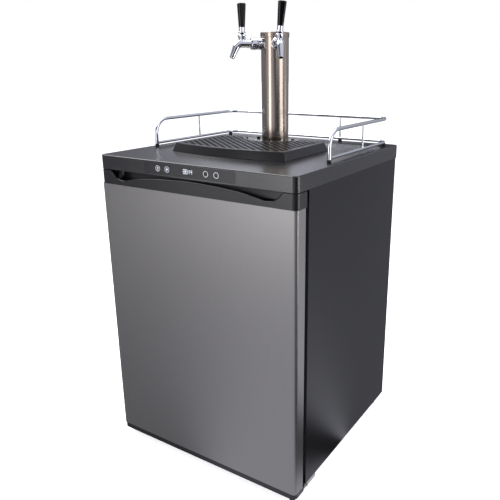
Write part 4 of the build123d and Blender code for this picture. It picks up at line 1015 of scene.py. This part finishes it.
def makeTaps():
    shanks = softenEdges(copyNode("shanks", "tapShanks"), couplingNut["edge"])
    finish(shanks, "cabinet", "chrome", ["shanks"], even=True)
    makers = {
        "nut": makeCouplingNut,
        "faucet": makeFaucet,
        "bonnet": lambda name: spinOnTap(name, bonnet["profile"], 96),
        "lever": makeLever,
        "collar": makeCollar,
        "handle": makeHandle,
    }
    models = {name: make(name) for name, make in makers.items()}
    nuts, bonnets = [], []
    for side, word in ((-1, "Left"), (1, "Right")):
        upright = tapPlace(side)
        leaning = upright @ leanOf(word)
        suffix = "_" + word.lower()
        nuts.append(settle(copyOf(models["nut"], "couplingNut"), upright))
        bonnets.append(settle(copyOf(models["bonnet"], "bonnet"), upright))
        body = settle(copyOf(models["faucet"], "faucet" + word), upright)
        finish(body, "cabinet", "chrome", ["faucet" + suffix], even=True)
        node = "lever" + suffix
        stem = settle(copyOf(models["lever"], "lever" + word), leaning)
        finish(stem, node, "chrome", [node])
        sleeve = settle(copyOf(models["collar"], "leverCollar" + word), leaning)
        finish(sleeve, node, "collarNylon")
        grip = settle(copyOf(models["handle"], "handle" + word), leaning)
        finish(grip, node, "handlePlastic", ["handle" + suffix], even=True)
    nuts, bonnets = join("couplingNuts", nuts), join("tapBonnets", bonnets)
    finish(nuts, "cabinet", "chrome", ["coupling_nuts"], even=True)
    finish(bonnets, "cabinet", "chrome", ["bonnets"])
    for piece in models.values():
        bpy.data.objects.remove(piece)


# guard rail: a bent bar, a lower bar and four thin rods, welded up and plated

rail = {
    "halfWidth": 276,
    "front": -101,
    "back": 264.5,
    "topHeight": 76,
    "topRadius": 4.75,
    "topSides": 32,
    "frontBend": 44,
    "backBend": 35,
    "bendSteps": 14,
    "lowerHeight": 10.5,
    "lowerRadius": 4,
    "lowerSides": 28,
    "lowerStart": 3,  # behind the front posts' axes
    "rodRadius": 2.5,
    "rodSides": 20,
    "rodTop": 2,  # below the top bar's axis
    "sideRodY": 89,
    "backRodX": 124,
    "footSeat": 2,
    "footEdge": 0.8,
}


def makeGuardRail():
    x, front, back = rail["halfWidth"], rail["front"], rail["back"]
    high, low = worktopTop + rail["topHeight"], worktopTop + rail["lowerHeight"]
    seat, steps = worktopTop + rail["footSeat"], rail["bendSteps"]
    corners = [(-x, front, high), (-x, back, high), (x, back, high), (x, front, high)]
    path = [(-x, front, seat)] + corners + [(x, front, seat)]
    bends = [rail["frontBend"], rail["backBend"], rail["backBend"], rail["frontBend"]]
    top = bendRod("guardRailTop", path, bends, rail["topRadius"], rail["topSides"], steps)
    finish(top, "cabinet", "wireChrome", ["guard_rail_top"], 40)
    start = front + rail["lowerStart"]
    path = [(-x, start, low), (-x, back, low), (x, back, low), (x, start, low)]
    bends = [rail["backBend"]] * 2
    bars = [bendRod("lowerBar", path, bends, rail["lowerRadius"], rail["lowerSides"], steps)]
    rodEnd = high - rail["rodTop"]
    places = [(-x, rail["sideRodY"]), (x, rail["sideRodY"])]
    places += [(-rail["backRodX"], back), (rail["backRodX"], back)]
    for a, b in places:
        bars.append(addRod("rod", rail["rodRadius"], (a, b, low), (a, b, rodEnd), rail["rodSides"]))
    lower = join("guardRailLower", bars)
    finish(lower, "cabinet", "wireChrome", ["guard_rail_lower"], 40)
    feet = softenEdges(copyNode("rail_feet", "railFeet"), rail["footEdge"], 3)
    finish(feet, "cabinet", "rubber", ["rail_feet"])


# drip tray and its lattice

tray = {"edge": 1.4, "latticeEdge": 0.9}


def makeTray():
    basin = softenEdges(copyNode("drip_tray", "dripTray"), tray["edge"], 3, 30)
    finish(basin, "drip_tray", "trayPlastic", ["drip_tray"], even=True)
    lattice = softenEdges(copyNode("drip_grille", "dripGrille"), tray["latticeEdge"], 2, 30)
    finish(lattice, "drip_grille", "latticePlastic", ["drip_grille"], even=True)


# sheets, feet and the pieces inside: the solids' own shapes with softened edges

softened = [
    # finish, edge in mm, solids
    ("sidePaint", 0.45, ["side_panel_left", "side_panel_right"]),
    ("socketPlastic", 0.8, ["foot_front_left", "foot_front_right"]),
    ("socketPlastic", 0.8, ["foot_rear_left", "foot_rear_right"]),
    ("linerPlastic", 0.4, ["door_liner"]),
    ("gasket", 2.0, ["door_gasket"]),
    ("coverPlastic", 0.7, ["evaporator_cover"]),
    ("fanPlastic", 0.3, ["fan_rotor"]),
    ("cylinderMetal", 0.8, ["gas_cylinder"]),
    ("brass", 0.5, ["gas_valve"]),
    ("brass", 0.8, ["gas_regulator"]),
    ("fanPlastic", 0.8, ["valve_wheel"]),
    ("enamel", 1.0, ["compressor"]),
    ("socketPlastic", 0.5, ["power_inlet"]),
    ("plateSteel", 0.4, ["keg_floor_plate"]),
]


def softenNodes():
    rows = [(node, name, edge) for name, edge, nodes in softened for node in nodes]
    for node, finishName, edge in rows:
        words = node.split("_")
        name = words[0] + "".join(word.capitalize() for word in words[1:])
        body = frame["nodes"][node]["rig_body"]
        piece = softenEdges(copyNode(node, name), edge)
        finish(piece, body, finishName, [node], even=True)


# camera, floor and lights

camera = {
    "place": (894.6, -1308.3, 1071.2),  # mm
    "azimuth": -32.04,  # degrees from +Y towards +X
    "down": 17.05,
    "roll": -0.11,
    "lens": 41.15,  # for a sensor 36 mm wide
    "shift": (-0.0606, -0.0216),
    "farthest": 100,  # m
}


def makeCamera():
    clearSelection()
    bpy.ops.object.camera_add()
    eye = bpy.context.object
    eye.name = "frontCamera"
    aim = Matrix.Rotation(math.radians(-camera["azimuth"]), 4, "Z")
    aim @= Matrix.Rotation(math.radians(90 - camera["down"]), 4, "X")
    aim @= Matrix.Rotation(math.radians(camera["roll"]), 4, "Z")
    eye.matrix_world = shift(*camera["place"]) @ aim
    eye.data.lens = camera["lens"]
    eye.data.sensor_width = 36
    eye.data.shift_x, eye.data.shift_y = camera["shift"]
    eye.data.clip_end = camera["farthest"]
    bpy.context.scene.camera = eye


studio = {
    "backdrop": "#ffffff",
    "mirrored": "#f1f2ff",  # what the object mirrors of the room is slightly cool
    "walls": 0.8,
    "wallPatches": [
        # azimuth from -Y towards +X, elevation, half width, softness in degrees, light added
        (30, 0, 7, 7, -0.7),
        (238, 10, 10, 14, -0.45),
        (206, -30, 37, 5, -0.6),
        (213, 18, 6, 8, 0.75),
        (193, 14, 11, 9, -0.5),
        (165, 0, 16, 16, -0.2),
        (-85, 0, 25, 20, -0.35),
        (-30, 42, 20, 16, -0.65),
    ],
    "floor": "#f4f4f4",
    "floorRough": 0.8,
    "floorSize": 60000,  # mm
    "floorLight": 0.8,
    "floorMirrored": 0.35,
    "floorPatches": [(-8, 0, 20, 22, 0.55), (72, 0, 22, 25, -0.3), (131, 0, 6, 9, 1.0),
        (152, 0, 18, 22, 0.1)],
    "patchCentre": (270, 0, 0),  # mm
    "aimHeight": 900,
    "softboxes": [
        # name, azimuth, distance, middle height, size in mm, power in W
        ("leftBox", -11, 1900, 950, (600, 1300), 8),
        ("rightBox", 85.5, 1900, 1300, (900, 1500), 11),
        ("lowBox", -33, 3258, 290, (560, 260), 2.1),
        ("cornerBox", 97, 2500, 300, (500, 600), 9),
        ("overheadBox", 150, 700, 3200, (1800, 1800), 18),
        ("highBox", -72, 1700, 3200, (2200, 2200), 110),
    ],
}


def bearing(azimuth, elevation=0.0):
    turn, rise = math.radians(azimuth), math.radians(elevation)
    level = math.cos(rise)
    return Vector((math.sin(turn) * level, -math.cos(turn) * level, math.sin(rise)))


def addPatches(tree, facing, level, patches):
    # a brightness that changes softly towards some directions
    for azimuth, elevation, spread, softness, added in patches:
        way = {0: facing, 1: tuple(bearing(azimuth, elevation))}
        dot = addNode(tree, "VectorMath", way, operation="DOT_PRODUCT")
        edges = {
            "Value": (dot, "Value"),
            "From Min": math.cos(math.radians(spread + softness)),
            "From Max": math.cos(math.radians(spread)),
            "To Max": added,
        }
        patch = addNode(tree, "MapRange", edges, interpolation_type="SMOOTHSTEP")
        level = (addNode(tree, "Math", {0: level, 1: (patch, 0)}, operation="ADD"), 0)
    return level


def splitRays(tree, seen, mirrored, output):
    # the camera sees one shader, the object mirrors the other
    rays = addNode(tree, "LightPath")
    parts = {"Fac": (rays, "Is Camera Ray"), 1: (mirrored, 0), 2: (seen, 0)}
    mixed = addNode(tree, "MixShader", parts)
    tree.links.new(mixed.outputs[0], tree.nodes[output].inputs["Surface"])


def makeWorld():
    # the camera sees a white backdrop, the object the walls of the studio
    world = bpy.context.scene.world or bpy.data.worlds.new("studio")
    bpy.context.scene.world = world
    world.use_nodes = True
    tree = world.node_tree
    walls = tree.nodes["Background"]
    walls.inputs["Color"].default_value = linear(studio["mirrored"])
    way = addNode(tree, "TexCoord")
    strength = addPatches(tree, (way, "Generated"), studio["walls"], studio["wallPatches"])
    tree.links.new(strength[0].outputs[0], walls.inputs["Strength"])
    parts = {"Color": linear(studio["backdrop"]), "Strength": 1.0}
    backdrop = addNode(tree, "Background", parts)
    splitRays(tree, backdrop, walls, "World Output")


def makeFloor():
    # painted white and evenly lit; what the object mirrors of it is brightest in front
    clearSelection()
    bpy.ops.mesh.primitive_plane_add(size=studio["floorSize"] * mm)
    floor = named("studioFloor")
    paint = newMaterial("paintedStudioFloor", studio["floor"], studio["floorRough"], specular=0.0)
    tree = paint.node_tree
    shader = tree.nodes["Principled BSDF"]
    parts = {"Color": linear(studio["floor"]), "Strength": studio["floorLight"]}
    lit = addNode(tree, "Emission", parts)
    both = addNode(tree, "AddShader", {0: (shader, 0), 1: (lit, 0)})
    place = addNode(tree, "TexCoord")
    parts = {0: (place, "Object"), 1: tuple(Vector(studio["patchCentre"]) * mm)}
    way = addNode(tree, "VectorMath", parts, operation="SUBTRACT")
    way = addNode(tree, "VectorMath", {0: (way, 0)}, operation="NORMALIZE")
    strength = addPatches(tree, (way, 0), studio["floorMirrored"], studio["floorPatches"])
    parts = {"Color": linear(studio["mirrored"]), "Strength": strength}
    mirrored = addNode(tree, "Emission", parts)
    splitRays(tree, both, mirrored, "Material Output")
    floor.data.materials.append(paint)


def makeStudio():
    makeWorld()
    makeFloor()
    for name, azimuth, distance, height, size, power in studio["softboxes"]:
        clearSelection()
        place = Vector((0, towerY, height)) + bearing(azimuth) * distance
        bpy.ops.object.light_add(type="AREA", location=place * mm)
        box = bpy.context.object
        box.name = name
        box.visible_camera = False
        box.data.shape = "RECTANGLE"
        box.data.size, box.data.size_y = size[0] * mm, size[1] * mm
        box.data.energy = power
        aim = Vector((0, towerY, studio["aimHeight"])) - place
        box.rotation_euler = aim.to_track_quat("-Z", "Y").to_euler()
    bpy.context.scene.view_settings.view_transform = "Standard"


stages = {
    "worktop": makeWorktop,
    "control panel": makePanel,
    "door": makeDoor,
    "tower": makeTower,
    "taps": makeTaps,
    "guard rail": makeGuardRail,
    "drip tray": makeTray,
    "sheets, feet and inside pieces": softenNodes,
    "camera": makeCamera,
    "studio": makeStudio,
}
for stage, make in stages.items():
    make()
    print(stage, "made")
